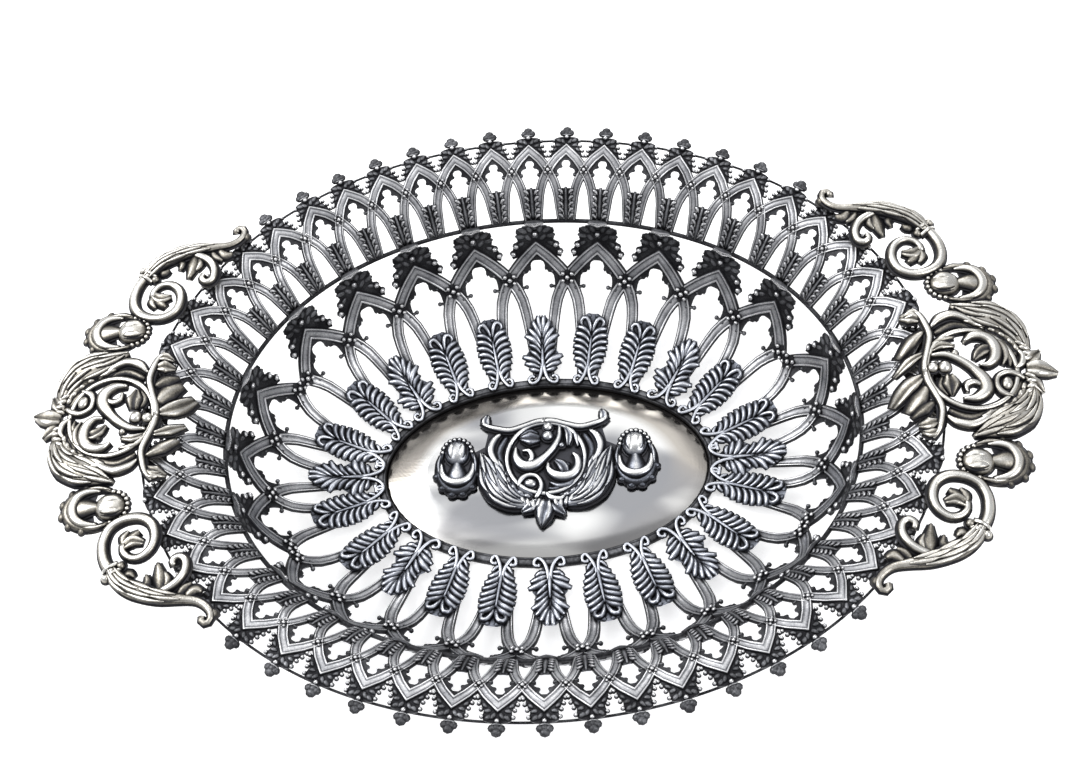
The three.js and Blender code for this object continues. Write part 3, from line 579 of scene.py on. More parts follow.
def acanthus_leaf(sizes):
    """Three spreading tiers of blunt lobes, the top one upright."""
    leaf, half = Casting(), sizes["acanthus_leaf"] / 2
    lobes = (((0.08, 2.4), (0.44, 3), (0.66, 4.2), 1.1, 0.05),
             ((0.08, 3.6), (0.52, 5.2), (0.9, 6.3), 1.3, 0.1), ((0.08, 5), (0.5, 7.4), (1, 9), 1.4, 0),
             ((0.07, 6.6), (0.34, 9.4), (0.6, 11.2), 1.15, 0.1),
             ((0.07, 9.4), (0.34, 12.2), (0.68, 13.6), 1.2, 0.25),
             ((0.07, 11.4), (0.4, 15), (0.84, 17.2), 1.35, 0),
             ((0.07, 13.2), (0.32, 16.8), (0.64, 19.8), 1.2, 0.05),
             ((0.05, 15.8), (0.24, 19.4), (0.42, 22.4), 1.15, -0.05),
             ((0.03, 17.4), (0.1, 21.2), (0.14, 24.4), 1, -0.1))
    for root, middle, tip, width, shade in lobes:
        leaf.sweep([(root[0] * half, root[1], 0.2), (middle[0] * half, middle[1], 0.9),
                    (tip[0] * half, tip[1], 0.4)],
                   [0.55, 1.05 * width, 1.1 * width, 0.8], CREASED, 7, [0.7, 1, 0.85, 0.5], shade)
    volutes(leaf, 1.22 * sizes["volute"])
    leaf.mirror("X")
    leaf.sweep([(0, 1.4, 0.5), (0, 6, 0.8), (0, 12.6, 0.6)], [0.6, 0.95, 0.4], ROUND, 6, shade=0.25)
    shape = [(0.3, 0.4), (0.56, 3.2), (0.84, 7), (0.8, 9.8), (0.6, 12), (0.7, 15.5), (0.68, 18.5),
             (0.5, 21.4), (0.24, 24)]
    leaf.both_halves([(x * half, y) for x, y in shape], -0.3, 0.2, 0.55)
    return leaf.master("acanthus_leaf")


# Foliage of the handles: X runs out to the tip of a handle, Y across it

def arc(centre, radii, start, sweep, count, level=0):
    """Knots on part of an oval, from an angle and through another, in degrees."""
    angles = np.radians(np.linspace(start, start + sweep, count))
    return [(centre[0] + radii[0] * math.cos(a), centre[1] + radii[1] * math.sin(a), level) for a in angles]


def roundel(cast):
    """A smooth bud rolls out of a calyx: a broad tongue, a bright lip and a dark frilled edge."""
    x, y = ROUNDEL
    at = lambda points: [(x + u, y + v, *z) for u, v, *z in points]
    cast.sweep(arc((x + 0.4, y), (8.7, 6.5), -132, 264, 11), [0.7, 1.4, 1.8, 1.4, 0.7], RIDGED, 24,
               [0.7, 1.2, 1.2, 0.7], 0.55)
    for px, py, pz in arc((x + 0.6, y), (10.2, 7.3), -74, 148, 6, 0.1):
        cast.bead(px, py, 1.35, pz, 0.7, (0.6, 1), 0, 1)
    for side in (-1, 1):
        # Black sheets in the hollows on each side of the tongue: painted shadow.
        cast.plate(at([(0.4, 2 * side), (5.2, 2.4 * side), (4.2, 5.4 * side), (-0.6, 5.8 * side)]),
                   -0.7, -0.1)
        cast.sweep(at([(-4.6, 5.7 * side, 0.2), (-1.2, 6.5 * side, 0.6), (2.6, 6.4 * side, 0.5)]),
                   [0.5, 0.9, 0.5], RIDGED, 6, 0.8, 0.3)
    cast.sweep(at([(-1.4, -5.6, 0.3), (2.6, -5.3, 0.8), (5.4, -3.5, 1.1), (6.6, 0, 1.2), (5.4, 3.5, 1.1),
                   (2.6, 5.3, 0.8), (-1.4, 5.6, 0.3)]), [0.5, 1.25, 1.6, 1.75, 1.6, 1.25, 0.5], ROUND, 22,
               [0.5, 1.3, 1.5, 1.3, 0.5])
    cast.sweep(at([(6.2, 0, 0.5), (3.4, 0, 0.9), (0.6, 0, 0.8), (-2, 0, 0.3)]), [4.2, 3.5, 2.3, 1.3], RIDGED,
               8, 1.1, 0.28)
    cast.bead(x - 5, y, 4.5, 0.1, 2.7, (0.1, 0.95), long=4.9)
    for fold in (-1.5, 1.5):
        cast.sweep(at([(-9, 0.7 * fold, 1), (-6.8, 1.3 * fold, 2.1), (-4, 1.2 * fold, 2.2),
                       (-1.6, 0.7 * fold, 1.3)]), [0.5, 1.3, 1.3, 0.5], ROUND, 8, [0.3, 0.6, 0.6, 0.3], 0.05)
    for px, py, pz in arc((x - 5, y), (5.5, 5.1), 96, 168, 10, 0.3):
        cast.bead(px, py, 0.82, pz, 0.8, (-0.05, 0.9))


WING = [(-3.4, 22.9, 0), (2.4, 20.5, 0.3), (8.4, 18.5, 0.6), (12.9, 15.8, 0.6), (16.1, 11.7, 0.4),
        (17.4, 6.6, 0.2)]
WING_HALVES = [0.5, 3.4, 5, 4.9, 3.4, 1.7]
WING_RISES = [0.9, 1.9, 2.5, 2.5, 1.9, 1.1]


def husks(cast, path, halves, rises, rows, width, shade):
    """Long narrow leaves lie along a domed stem: each row has its place across and two shares of the stem's
    length."""
    count = 60
    line, steps = smooth_line(path, count + 1), np.linspace(0, 1, count + 1)
    ahead = directions(line)
    out = np.column_stack([-ahead[:, 1], ahead[:, 0], 0 * steps]) * spread(halves, steps)[:, None]
    for row, start, end in rows:
        course = line + row * out
        course[:, 2] += 0.9 * spread(rises, steps) * math.sqrt(1 - row * row)
        knots = course[int(count * start):int(count * end) + 1:4]
        cast.sweep(knots, [0.3, width, width, 0.25], RIDGED, 9, 0.6 * width, shade, hem=0)


def wing(cast):
    """A smooth body of long feathers that swells and bends round towards the tip."""
    cast.sweep(WING, WING_HALVES, STRIATED, 20, WING_RISES)
    husks(cast, WING, WING_HALVES, WING_RISES, (
        (-0.78, 0.2, 0.62), (-0.74, 0.6, 0.98), (-0.4, 0.05, 0.42), (-0.36, 0.45, 0.9), (-0.02, 0.16, 0.6),
        (0.02, 0.62, 1), (0.36, 0, 0.36), (0.4, 0.34, 0.8), (0.74, 0.22, 0.56),
        (0.74, 0.56, 0.94)), 1.05, 0.14)
    cast.sweep([(5.4, 15.2, 0.1), (9.6, 13.2, 0.5), (13, 10.2, 0.6), (14.9, 6.4, 0.4)], [0.7, 1.5, 1.6, 0.8],
               RIDGED, 10, 1, 0.3)
    for x, y, turn in ((8, 13.4, -0.4), (10.8, 11.6, -0.7), (13, 9.2, -1), (14.4, 6.8, -1.2)):
        cast.bead(x, y, 0.9, 0.9, 0.9, (0.1, 0.9), turn, 1.5)
    for x, y, turn in ((15.9, 8.4, -0.5), (16.9, 6.6, -0.3), (17.4, 4.8, 0), (17.2, 3, 0.3)):
        cast.bead(x, y, 0.95, 0.7, 1.2, (-0.05, 0.95), turn, 2)


def crest(ground):
    """A wreath with an S of foliage, two wings, two roundels, the forked branch and a leaf tip."""
    cast = Casting(HEM_WIDTH)
    roundel(cast)
    wing(cast)
    cast.sweep([(-10.4, 15.4, 0.2), (-7.8, 18, 0.7), (-3.8, 19.3, 0.8), (-0.2, 18.2, 0.7), (3.2, 15.8, 0.6),
                (5.9, 14, 0.2)], [0.5, 1.5, 1.6, 1.4, 1.2, 0.4], ROUND, 16, [0.6, 1.4, 1.4, 0.6])
    cast.sweep([(0, 17.2, 0.8), (2.6, 16.6, 1.3), (6.2, 14.6, 0.6)], [0.9, 1.9, 0.5], VEINED, 6, 0.9)
    cast.sweep([(-9.4, 13.4, -0.4), (-3.5, 16.4, -0.2), (2.6, 14.8, -0.2), (9, 11.6, -0.2), (12.4, 8, -0.2),
                (14.4, 4.4, -0.2)], [1, 1.6, 1.4, 1.7, 1.4, 0.8], RIDGED, 16, 0.8, 0.6)
    cast.sweep([(-15.2, 22.6, 0.1), (-13.4, 20.4, 0.5), (-12.2, 17.2, 0.6), (-11.3, 12.6, 0.6),
                (-12.5, 8, 0.6), (-14, 3.4, 0.6), (-14.4, 0, 0.6)], [0.7, 1.05, 1.1, 1.05, 1.1], ROUND, 16)
    cast.sweep([(-13, 20.2, 0.2), (-15.4, 21, 0.6), (-17.8, 20, 0.1)], [0.6, 1.9, 0.6], VEINED, 5, 0.9)
    cast.mirror("Y")
    cast.sweep(arc((0, 0), (WREATH_RADIUS, WREATH_RADIUS), 0, 360, 17, 0.2), 1, ROUND, 44, closed=True)
    cast.sweeps((
        ([(16.6, 1.4, 0.1), (19.4, 3.8, 0.7), (21.8, 6, 0)], [1.4, 2.5, 0.6], VEINED, 1.2, 0.12),
        ([(16.2, -3, 0.1), (18.4, -5.8, 0.6), (20.2, -8.8, 0)], [1.4, 2.4, 0.7], VEINED, 1.2, 0.12),
        ([(16.4, -0.4, 0.3), (19.8, -0.8, 1.3), (23.2, -1.6, 1), (26, -2.2, 0)], [2, 3.4, 2.6, 0.4], VEINED,
         1.6, 0),
        ([(-1.2, 9.4, 0.3), (1.2, 11.1, 0.8), (4.4, 11.1, 1), (6.9, 9.3, 1), (7.8, 6.3, 1), (7, 3, 1),
          (4.8, 0.9, 0.8), (2.2, 0.8, 0.4)], [0.6, 1.5, 1.8, 2, 2.2, 2, 1.4, 0.6], ROUND, 1.6, 0),
        ([(7.4, 6.4, 0.3), (4.9, 6.4, 0.9), (2.6, 5, 0.7), (1, 3, 0.2)], [1, 2.1, 1.8, 0.5], VEINED, 1.1,
         0.2),
        ([(-11.8, 5.2, 0.4), (-7.4, 4.9, 0.8), (-3.2, 2.6, 0.9), (0.4, -0.9, 0.9), (2.9, -4.6, 0.9),
          (2.6, -8.2, 0.9), (-0.6, -10.4, 0.7), (-4.4, -10.4, 0.3)],
         [0.7, 1.2, 1.4, 1.5, 2.1, 2.3, 1.7, 0.6], ROUND, 1.5, 0),
        ([(2.2, -6.4, 0.5), (-0.4, -4.8, 0.7), (-2.8, -5.8, 0.7), (-3, -8.2, 0.4)], [0.6, 1.2, 1.1, 0.5],
         ROUND, 1.1, 0),
        ([(-11.4, 7, 0.3), (-8.2, 8.4, 0.9), (-4.2, 8, 0.4)], [0.6, 1.6, 0.6], VEINED, 1.1, 0),
        ([(-11, 9.4, 0.1), (-7.6, 10.9, 0.5), (-3.8, 11.4, 0.1)], [0.6, 1.4, 0.5], RIDGED, 0.9, 0.25),
        ([(-7.4, -1.8, 0.4), (-7.4, -5, 1.3), (-7.7, -9, 0.4)], [1.5, 3, 0.6], VEINED, 1.2, 0.25),
        ([(-9.6, -2.6, 0.3), (-10.6, -5.4, 0.6), (-8.9, -8.8, 0.1)], [0.6, 1.2, 0.4], RIDGED, 0.8, 0.5),
        ([(7, 10.6, 0.1), (10.2, 8.2, 0.6), (11, 4.4, 0.6), (9.4, 1, 0.1)], [0.6, 1.5, 1.5, 0.5], RIDGED,
         1, 0.35),
        ([(10.6, 5.6, 0.2), (12, 3, 0.5), (11.6, 0.4, 0.1)], [0.6, 1.2, 0.5], RIDGED, 0.8, 0.5),
        ([(15.2, -4, 0.3), (12.8, -2.4, 0.7), (10, -1.8, 0.6), (7.2, -3.2, 0.5), (6.4, -6, 0.5),
          (7.6, -8.6, 0.5), (10.6, -10, 0.4)], [0.9, 1.2, 1, 0.9, 1.1, 1.3, 0.6], ROUND, 1.1, 0.1),
        ([(14, -5, 0), (12, -8, 0.2), (8, -10.8, 0)], [1.4, 2.2, 0.8], RIDGED, 0.9, 0.6),
        ([(13.2, -0.4, 0.3), (15.4, 1.4, 0.8), (16, 4.4, 0.6), (14.4, 6.6, 0.2)], [0.6, 1.3, 1.2, 0.5], ROUND,
         1.1, 0)))
    for x, y, radius, long, top in ((-11.9, 1.1, 1.75, 1.75, -0.1), (-8.3, 0.9, 2, 2.2, 0),
                                    (-7.4, -4.4, 0.8, 1, -0.1), (9.6, -5.6, 1.7, 2.3, 0),
                                    (-4.6, 5.6, 1.1, 1.3, 0.1), (3, 7.6, 0.9, 1, 0.85)):
        cast.bead(x, y, radius, 0.7, 0.8 * radius, (top, 1), 1.3, long)
    # The ground: black sheets under the ornament's openings, partly tarnish and partly painted shadow of the
    # casting on the plate.
    if ground:
        x, y = ROUNDEL
        cast.plate([place[:2] for place in arc((1.5, 0), (15.4, 15), 0, 350, 36)], -1.3, -0.8, 0.95)
        field = ((-11, 12), (-12.4, 20), (-6, 21.5), (-4, 25.4), (3, 25.4), (8, 21.5), (13.6, 17.6),
                 (17.2, 11.6), (17.8, 4.6), (10, 8), (2, 14))
        for side in (-1, 1):
            cast.plate([(px, side * py) for px, py, _ in arc((x, y), (9.8, 6.9), 0, 345, 24)],
                       -1.3, -0.8, 0.9)
            cast.plate([(px, side * py) for px, py in field], -1.25, -0.85, 0.95)
    return cast.master("crest")


STEM_HALVES = [1.8, 2.4, 2.7, 2.8, 2.6, 2.3, 1.8, 1.35, 1.15, 1.05, 1, 1.1]
STEM_RISES = [1.6, 2, 2.3, 2.3, 2.1, 1.9, 1.5, 1.2, 1, 0.95, 0.9, 1]
STEM = [(128.6, 51.4, 0.4), (126.2, 54.8, 0.6), (122.4, 57.8, 0.8), (117.4, 60, 0.8), (111.8, 61.6, 0.7),
        (106, 62.3, 0.5), (101.4, 63, 0.2), (98.2, 65, 0), (96.7, 67.6, 0), (97.6, 69.8, 0), (99.3, 69.5, 0),
        (99.3, 67.8, 0)]


def scroll():
    """An acanthus stem curls over the rim at one end and winds into a wire volute at the other."""
    cast = Casting(HEM_WIDTH)
    volute = [(127.4, 53.2), (129.9, 50.4), (131.4, 46.8), (131.7, 42.4), (130, 38.3), (125.9, 35.8),
              (120.9, 35.5), (117.2, 37.8), (115.8, 42), (116.9, 46), (119.8, 48.4), (123, 48.3),
              (125.2, 46.4), (125.6, 43.9)]
    cast.sweep([(*place, 0.4) for place in volute], [1.8, 1.75, 1.7, 1.65, 1.6, 1.55, 1.4, 1.25, 1.1],
               ROUND, 44)
    cast.sweep(STEM, STEM_HALVES, STRIATED, 34, STEM_RISES)
    husks(cast, STEM, STEM_HALVES, STEM_RISES, (
        (-0.72, 0.04, 0.28), (-0.7, 0.24, 0.5), (-0.3, 0, 0.2), (-0.28, 0.16, 0.44), (-0.25, 0.4, 0.64),
        (0.15, 0.06, 0.32), (0.15, 0.3, 0.56), (0.6, 0.02, 0.24), (0.62, 0.2, 0.42),
        (0.6, 0.38, 0.6)), 0.95, 0.12)
    line = smooth_line(STEM, 60)
    for (x, y, _), (dx, dy, _) in zip(line[:4:3], directions(line)[:4:3]):
        cast.sweep([(x - 2.8 * dy, y + 2.8 * dx, 0.6), (x, y, 1.9), (x + 2.8 * dy, y - 2.8 * dx, 0.6)],
                   0.8, ROUND, 8)
    cast.bead(129.6, 54.6, 1.5, 0.8, tarnish_and_shade=(0.1, 1))
    cast.bead(125.4, 50.8, 1.5, 0.4, tarnish_and_shade=(0.3, 1))
    cast.bead(96.64, 66.8, 1.6, -1.2, 1.6, (0.5, 1))
    cast.sweeps((
        ([(112.4, 60, 0.2), (107.8, 57, 0.6), (105.6, 53.4, 0.6), (105.9, 49.9, 0.6), (107.9, 48.6, 0.6),
          (109.6, 49.9, 0.5), (109.1, 51.6, 0.4)], [1.7, 1.5, 1.4, 1.35, 1.25, 1.15, 1], ROUND, None, 0),
        ([(112.6, 60, 0), (113, 55.4, 0.4), (114.2, 50.4, 0)], [1.6, 2.4, 0.7], RIDGED, 1, 0.5),
        ([(111.2, 58.4, 0), (110.6, 56, 0.4), (111.8, 53.4, 0)], [1, 1.5, 0.5], RIDGED, 0.9, 0.35),
        ([(118.6, 58.6, 0), (116.8, 56.4, 0.3), (117.4, 54, 0)], [1.2, 1.6, 0.6], RIDGED, 0.9, 0.5),
        ([(124.6, 54.8, 0), (122.6, 53.4, 0.3), (121, 54.6, 0)], [1.2, 1.8, 0.7], RIDGED, 0.9, 0.4),
        ([(104.6, 61.2, -0.2), (102.4, 59.2, -0.2), (100.2, 59.8, -0.4)], [1.4, 2, 1], RIDGED, 0.9, 0.4),
        ([(107, 60.6, -0.2), (105.6, 58.4, -0.1), (103.4, 57.2, -0.4)], [1.2, 1.6, 0.7], RIDGED, 0.9, 0.5),
        ([(125.9, 45.2, 0.2), (122.8, 43, 0.6), (119.2, 43.6, 0.2)], [1.2, 2.3, 0.9], VEINED, 1.1, 0.15),
        ([(125.2, 44.4, 0), (122.8, 41.6, 0.4), (120.8, 39.8, 0)], [1, 2, 0.9], RIDGED, 1, 0.55),
        ([(125.4, 44.6, 0), (125.6, 41.8, 0.4), (124.2, 39.6, 0)], [0.9, 1.6, 0.7], RIDGED, 1, 0.3)))
    return cast.master("scroll")


def spray():
    """Leaves that lie inwards from the branch over the flaring wall."""
    cast = Casting(HEM_WIDTH)
    for tip, bend, root, halves, section, shade in (
            ((-20.8, 7.2), (-16.8, 11.4), (-12.4, 14.4), [0.8, 2.2, 1.2], RIDGED, 0.35),
            ((-22.4, 1.6), (-17.8, 4.9), (-13.6, 6.6), [0.8, 1.9, 0.7], VEINED, 0.05),
            ((-24.2, -8.4), (-19.6, -3.6), (-14.4, -0.8), [0.9, 2.8, 2.6, 1.2], VEINED, 0.1),
            ((-20.8, -12.2), (-17.2, -8.6), (-14, -4.6), [1.6, 2.9, 1.3], RIDGED, 0.35),
            ((-19.8, -14.4), (-16.8, -12.8), (-13, -10.4), [1.2, 2.2, 0.7], RIDGED, 0.6),
            ((-19, 20.6), (-16, 19.8), (-13.2, 18.4), [1, 2.6, 0.8], VEINED, 0.1),
            ((-18.4, -17.4), (-15.6, -17.6), (-12.8, -17), [1, 2.6, 0.8], VEINED, 0.1)):
        cast.sweep([(*root, 0), (*bend, 0.4), (*tip, -0.1)], halves, section, 8, [0.8, 1.1, 0.4], shade)
    return cast.master("spray")


# Materials

def linear(code):
    """Linear colour of an sRGB hex value."""
    shares = [int(code[i:i + 2], 16) / 255 for i in (1, 3, 5)]
    return (*(s / 12.92 if s <= 0.04045 else ((s + 0.055) / 1.055) ** 2.4 for s in shares), 1.0)


def add_node(tree, kind, values=None, links=None, **settings):
    """Adds a shader node with its settings, its sockets' values and the sockets that feed it."""
    node = tree.nodes.new(f"ShaderNode{kind}")
    for name, value in settings.items():
        setattr(node, name, value)
    for name, value in (values or {}).items():
        node.inputs[name].default_value = value
    for name, source in (links or {}).items():
        tree.links.new(source, node.inputs[name])
    return node


def new_material(name):
    """A node material with only its shader and output."""
    material = bpy.data.materials.new(name)
    material.use_nodes = True
    tree = material.node_tree
    tree.nodes.clear()
    shader = add_node(tree, "BsdfPrincipled")
    add_node(tree, "OutputMaterial", links={"Surface": shader.outputs["BSDF"]})
    return tree, shader


def bare_metal(tree, shader, tint, gloss, normal):
    """Feeds a metal's shader."""
    shader.inputs["Metallic"].default_value = 1.0
    sources = {"Base Color": tint, "Roughness": gloss.outputs["Result"], "Normal": normal.outputs["Normal"]}
    for name, source in sources.items():
        tree.links.new(source, shader.inputs[name])


def cast_silver(name, rubbed, flat, sulphide_and_shade, roughness=(0.26, 0.6), recess_shade=0.7, pits=0.5):
    """Sterling silver, sand cast and oxidised, then rubbed bright on its high parts.
    The eye sees pale ridges and beads over grey flats and almost black hollows, with fine pits all over.
    The hollows' black is partly oxide and partly painted shade from ambient occlusion, which also darkens the
    silver under and between parts.
    Real pits are as small as the sand, 0.1 to 0.2 mm, too fine to show, so they are drawn 0.5 mm wide and
    more."""
    tree, shader = new_material(name)
    place = add_node(tree, "TexCoord").outputs["Object"]
    grain = add_node(tree, "TexNoise", {"Scale": 1 / (pits * MM), "Detail": 3.0}, {"Vector": place})
    clouds = add_node(tree, "TexNoise", {"Scale": 1 / (7 * MM), "Detail": 2.0}, {"Vector": place})
    # Darkness of each vertex: tarnish, and painted shade on dark sides, hems and shadow sheets.
    oxide_and_shade = add_node(tree, "Attribute", attribute_name="tarnish_and_shade")
    # Ambient occlusion: painted shade in recesses and under and between parts, on top of the oxide.
    occlusion_shade = add_node(tree, "AmbientOcclusion", {"Distance": 1.8 * MM}, samples=6)
    total = oxide_and_shade.outputs["Fac"]
    for source, share, middle in ((grain.outputs["Fac"], 0.5, 0.5), (clouds.outputs["Fac"], 0.7, 0.5),
                                  (occlusion_shade.outputs["AO"], -recess_shade, 0.92)):
        part = add_node(tree, "Math", {1: middle}, {0: source}, operation="SUBTRACT")
        total = add_node(tree, "Math", {1: share}, {0: part.outputs[0], 2: total},
                         operation="MULTIPLY_ADD").outputs[0]
    between = [math.sqrt(a * b) for a, b in zip(rubbed, flat)]
    ramp = add_node(tree, "ValToRGB", links={"Fac": total})
    stops = ramp.color_ramp.elements
    for i, (position, tint) in enumerate(((0.0, rubbed), (1.0, sulphide_and_shade), (0.26, between), (0.46, flat),
                                          (0.7, [0.36 * share for share in flat]))):
        stop = stops[i] if i < 2 else stops.new(position)
        stop.position = position
        stop.color = (*tint, 1.0)
    gloss = add_node(tree, "MapRange", {"To Min": roughness[0], "To Max": roughness[1]}, {"Value": total})
    bump = add_node(tree, "Bump", {"Strength": 0.4, "Distance": 0.07 * MM}, {"Height": grain.outputs["Fac"]})
    bare_metal(tree, shader, ramp.outputs["Color"], gloss, bump)


def burnished_plate_silver(polished, bloom_and_reflection, edge):
    """Rolled sterling silver, hammered flat and burnished.
    The eye sees a soft mirror with faint hairlines, slow waves, a grey bloom and a browner edge, darkest on
    the far side. The bloom is partly real and partly painted reflection; the edge is partly less rubbed metal
    and partly a painted reflection of the far wall. Real hairlines are under 0.05 mm wide, too fine to show,
    so they are drawn
    0.3 mm wide and 4 mm long."""
    tree, shader = new_material("burnished_plate_silver")
    place = add_node(tree, "TexCoord").outputs["Object"]
    drawn = add_node(tree, "Mapping", {"Scale": (1.0, 14.0, 1.0), "Rotation": (0, 0, 0.4)}, {"Vector": place})
    wide = add_node(tree, "Mapping", {"Scale": (0.45, 1.0, 1.0), "Rotation": (0, 0, 0.12),
                                      "Location": (0.013, 0.004, 0)}, {"Vector": place})
    hairlines = add_node(tree, "TexNoise", {"Scale": 1 / (4 * MM), "Detail": 4.0},
                         {"Vector": drawn.outputs["Vector"]})
    waves = add_node(tree, "TexNoise", {"Scale": 1 / (22 * MM), "Detail": 1.0}, {"Vector": place})
    clouds = add_node(tree, "TexNoise", {"Scale": 1 / (19 * MM), "Detail": 1.5, "Distortion": 0.4},
                      {"Vector": wide.outputs["Vector"]})
    # Grey clouds: partly bloom on the metal, partly painted reflection.
    bloom_and_reflection_mask = add_node(tree, "MapRange", {"From Min": 0.38, "From Max": 0.62}, {"Value": clouds.outputs["Fac"]},
                     interpolation_type="SMOOTHSTEP")
    tint = add_node(tree, "Mix", {"A": (*polished, 1), "B": (*bloom_and_reflection, 1)}, {"Factor": bloom_and_reflection_mask.outputs["Result"]},
                    data_type="RGBA")
    # The brown edge: partly less rubbed metal, partly a painted reflection of the far wall.
    unrubbed_and_reflected = add_node(tree, "Attribute", attribute_name="tarnish_and_shade")
    browned_and_reflected = add_node(tree, "MapRange", {"From Max": 0.3, "To Max": 0.85},
                       {"Value": unrubbed_and_reflected.outputs["Fac"]})
    tint = add_node(tree, "Mix", {"B": (*edge, 1)},
                    {"Factor": browned_and_reflected.outputs["Result"], "A": tint.outputs["Result"]}, data_type="RGBA")
    turned = add_node(tree, "Bump", {"Strength": 1.0, "Distance": 1.6 * MM},
                      {"Height": unrubbed_and_reflected.outputs["Fac"]}, invert=True)
    gloss = add_node(tree, "MapRange", {"To Min": 0.1, "To Max": 0.24}, {"Value": hairlines.outputs["Fac"]})
    rolled = add_node(tree, "Bump", {"Strength": 0.3, "Distance": 0.9 * MM},
                      {"Height": waves.outputs["Fac"], "Normal": turned.outputs["Normal"]})
    lined = add_node(tree, "Bump", {"Strength": 0.05, "Distance": 0.05 * MM},
                     {"Height": hairlines.outputs["Fac"], "Normal": rolled.outputs["Normal"]})
    bare_metal(tree, shader, tint.outputs["Result"], gloss, lined)


def finishes(colours):
    """Makes every finish of the basket, once."""
    if FINISHES["polished_silver"] not in bpy.data.materials:
        black = colours.sulphide_and_shade
        cast_silver("oxidised_tracery_silver", colours.tracery_rubbed, colours.tracery_flat, black)
        cast_silver("rubbed_leaf_silver", colours.leaf_rubbed, colours.leaf_flat, black)
        cast_silver("rubbed_handle_silver", colours.handle_rubbed, colours.handle_flat,
                    [1.9 * share for share in black], (0.22, 0.55))
        cast_silver("dark_drawn_wire_silver", colours.tracery_rubbed, colours.tracery_flat, black,
                    recess_shade=0.3, pits=0.8)
        cast_silver("rubbed_ornament_silver", colours.plate_polished, colours.leaf_flat,
                    [2.2 * share for share in black], (0.2, 0.5), 0.6)
        burnished_plate_silver(colours.plate_polished, colours.plate_bloom_and_reflection, colours.plate_edge)


# Settings

def length(name, text, size, low, high):
    """A length that the sidebar shows in the scene's units."""
    return FloatProperty(name=name, description=text, default=size * MM, min=low * MM, max=high * MM,
                         unit="LENGTH", precision=4)


def colour(name, text, code):
    """A colour with its sRGB hex default."""
    return FloatVectorProperty(name=name, description=text, default=linear(code)[:3], size=3, min=0, max=1,
                               subtype="COLOR")


class BasketSizes(bpy.types.PropertyGroup):
    """Sizes of the castings and wires"""
    lower_bar: length("Lower bar", "Width of a reeded bar of the bowl", 4.5, 1, 6)
    upper_bar: length("Upper bar", "Width of a reeded bar of the flaring band", 3.4, 1, 4)
    lower_bead: length("Lower bead", "Radius of the bowl's beads", 0.95, 0.3, 2)
    upper_bead: length("Upper bead", "Radius of the flaring band's beads", 0.62, 0.2, 1)
    palm_leaf: length("Palm leaf", "Width of a palm leaf", 12.4, 6, 14)
    acanthus_leaf: length("Acanthus leaf", "Width of an acanthus leaf", 14.8, 8, 16)
    volute: length("Volute", "How far a leaf's foot scrolls reach to each side", 4.2, 2, 5)
    shoulder_wire: length("Shoulder wire", "Radius of the shoulder wire", 0.75, 0.4, 1.5)
    tab: length("Solder tab", "Half the length of a tab on the shoulder wire", 3.2, 1, 5)
    rim_wire: length("Rim wire", "Radius of the rim wire", 0.4, 0.2, 1)


class BasketColours(bpy.types.PropertyGroup):
    """Colours of the silver where it is rubbed, flat and tarnished"""
    tracery_rubbed: colour("Tracery, rubbed", "High lines and beads of the tracery", "#E6E6E7")
    tracery_flat: colour("Tracery, flat", "Flats of the tracery", "#85868A")
    leaf_rubbed: colour("Leaves, rubbed", "Ridges of the applied leaves", "#D8DBE2")
    leaf_flat: colour("Leaves, flat", "Flats of the applied leaves", "#797D87")
    handle_rubbed: colour("Handles, rubbed", "High parts of the handles", "#F2F0EA")
    handle_flat: colour("Handles, flat", "Flats of the handles", "#9E998F")
    plate_polished: colour("Plate, polished", "Bright metal of the plate and its ornament", "#EFEFED")
    # Bloom and painted reflection on the plate.
    plate_bloom_and_reflection: colour("Plate, bloom", "Less rubbed metal of the plate", "#9C9DA0")
    # Less rubbed metal and a painted reflection of the far wall.
    plate_edge: colour("Plate, edge", "Unrubbed metal beside the frame", "#BDB6AC")
    # The darkest colour: tarnish in the hollows, and painted shade wherever the shade reaches it.
    sulphide_and_shade: colour("Sulphide", "Tarnish in the hollows", "#2E2E31")


# Pieces

class BasketOperator:
    """What every piece's operator shares: it makes the finishes, reads the sizes in millimetres and
    builds."""
    bl_options = {"REGISTER", "UNDO"}

    def execute(self, context):
        finishes(context.scene.basket_colours)
        group = context.scene.basket_sizes
        self.build({name: getattr(group, name) / MM for name in group.__annotations__})
        return {"FINISHED"}


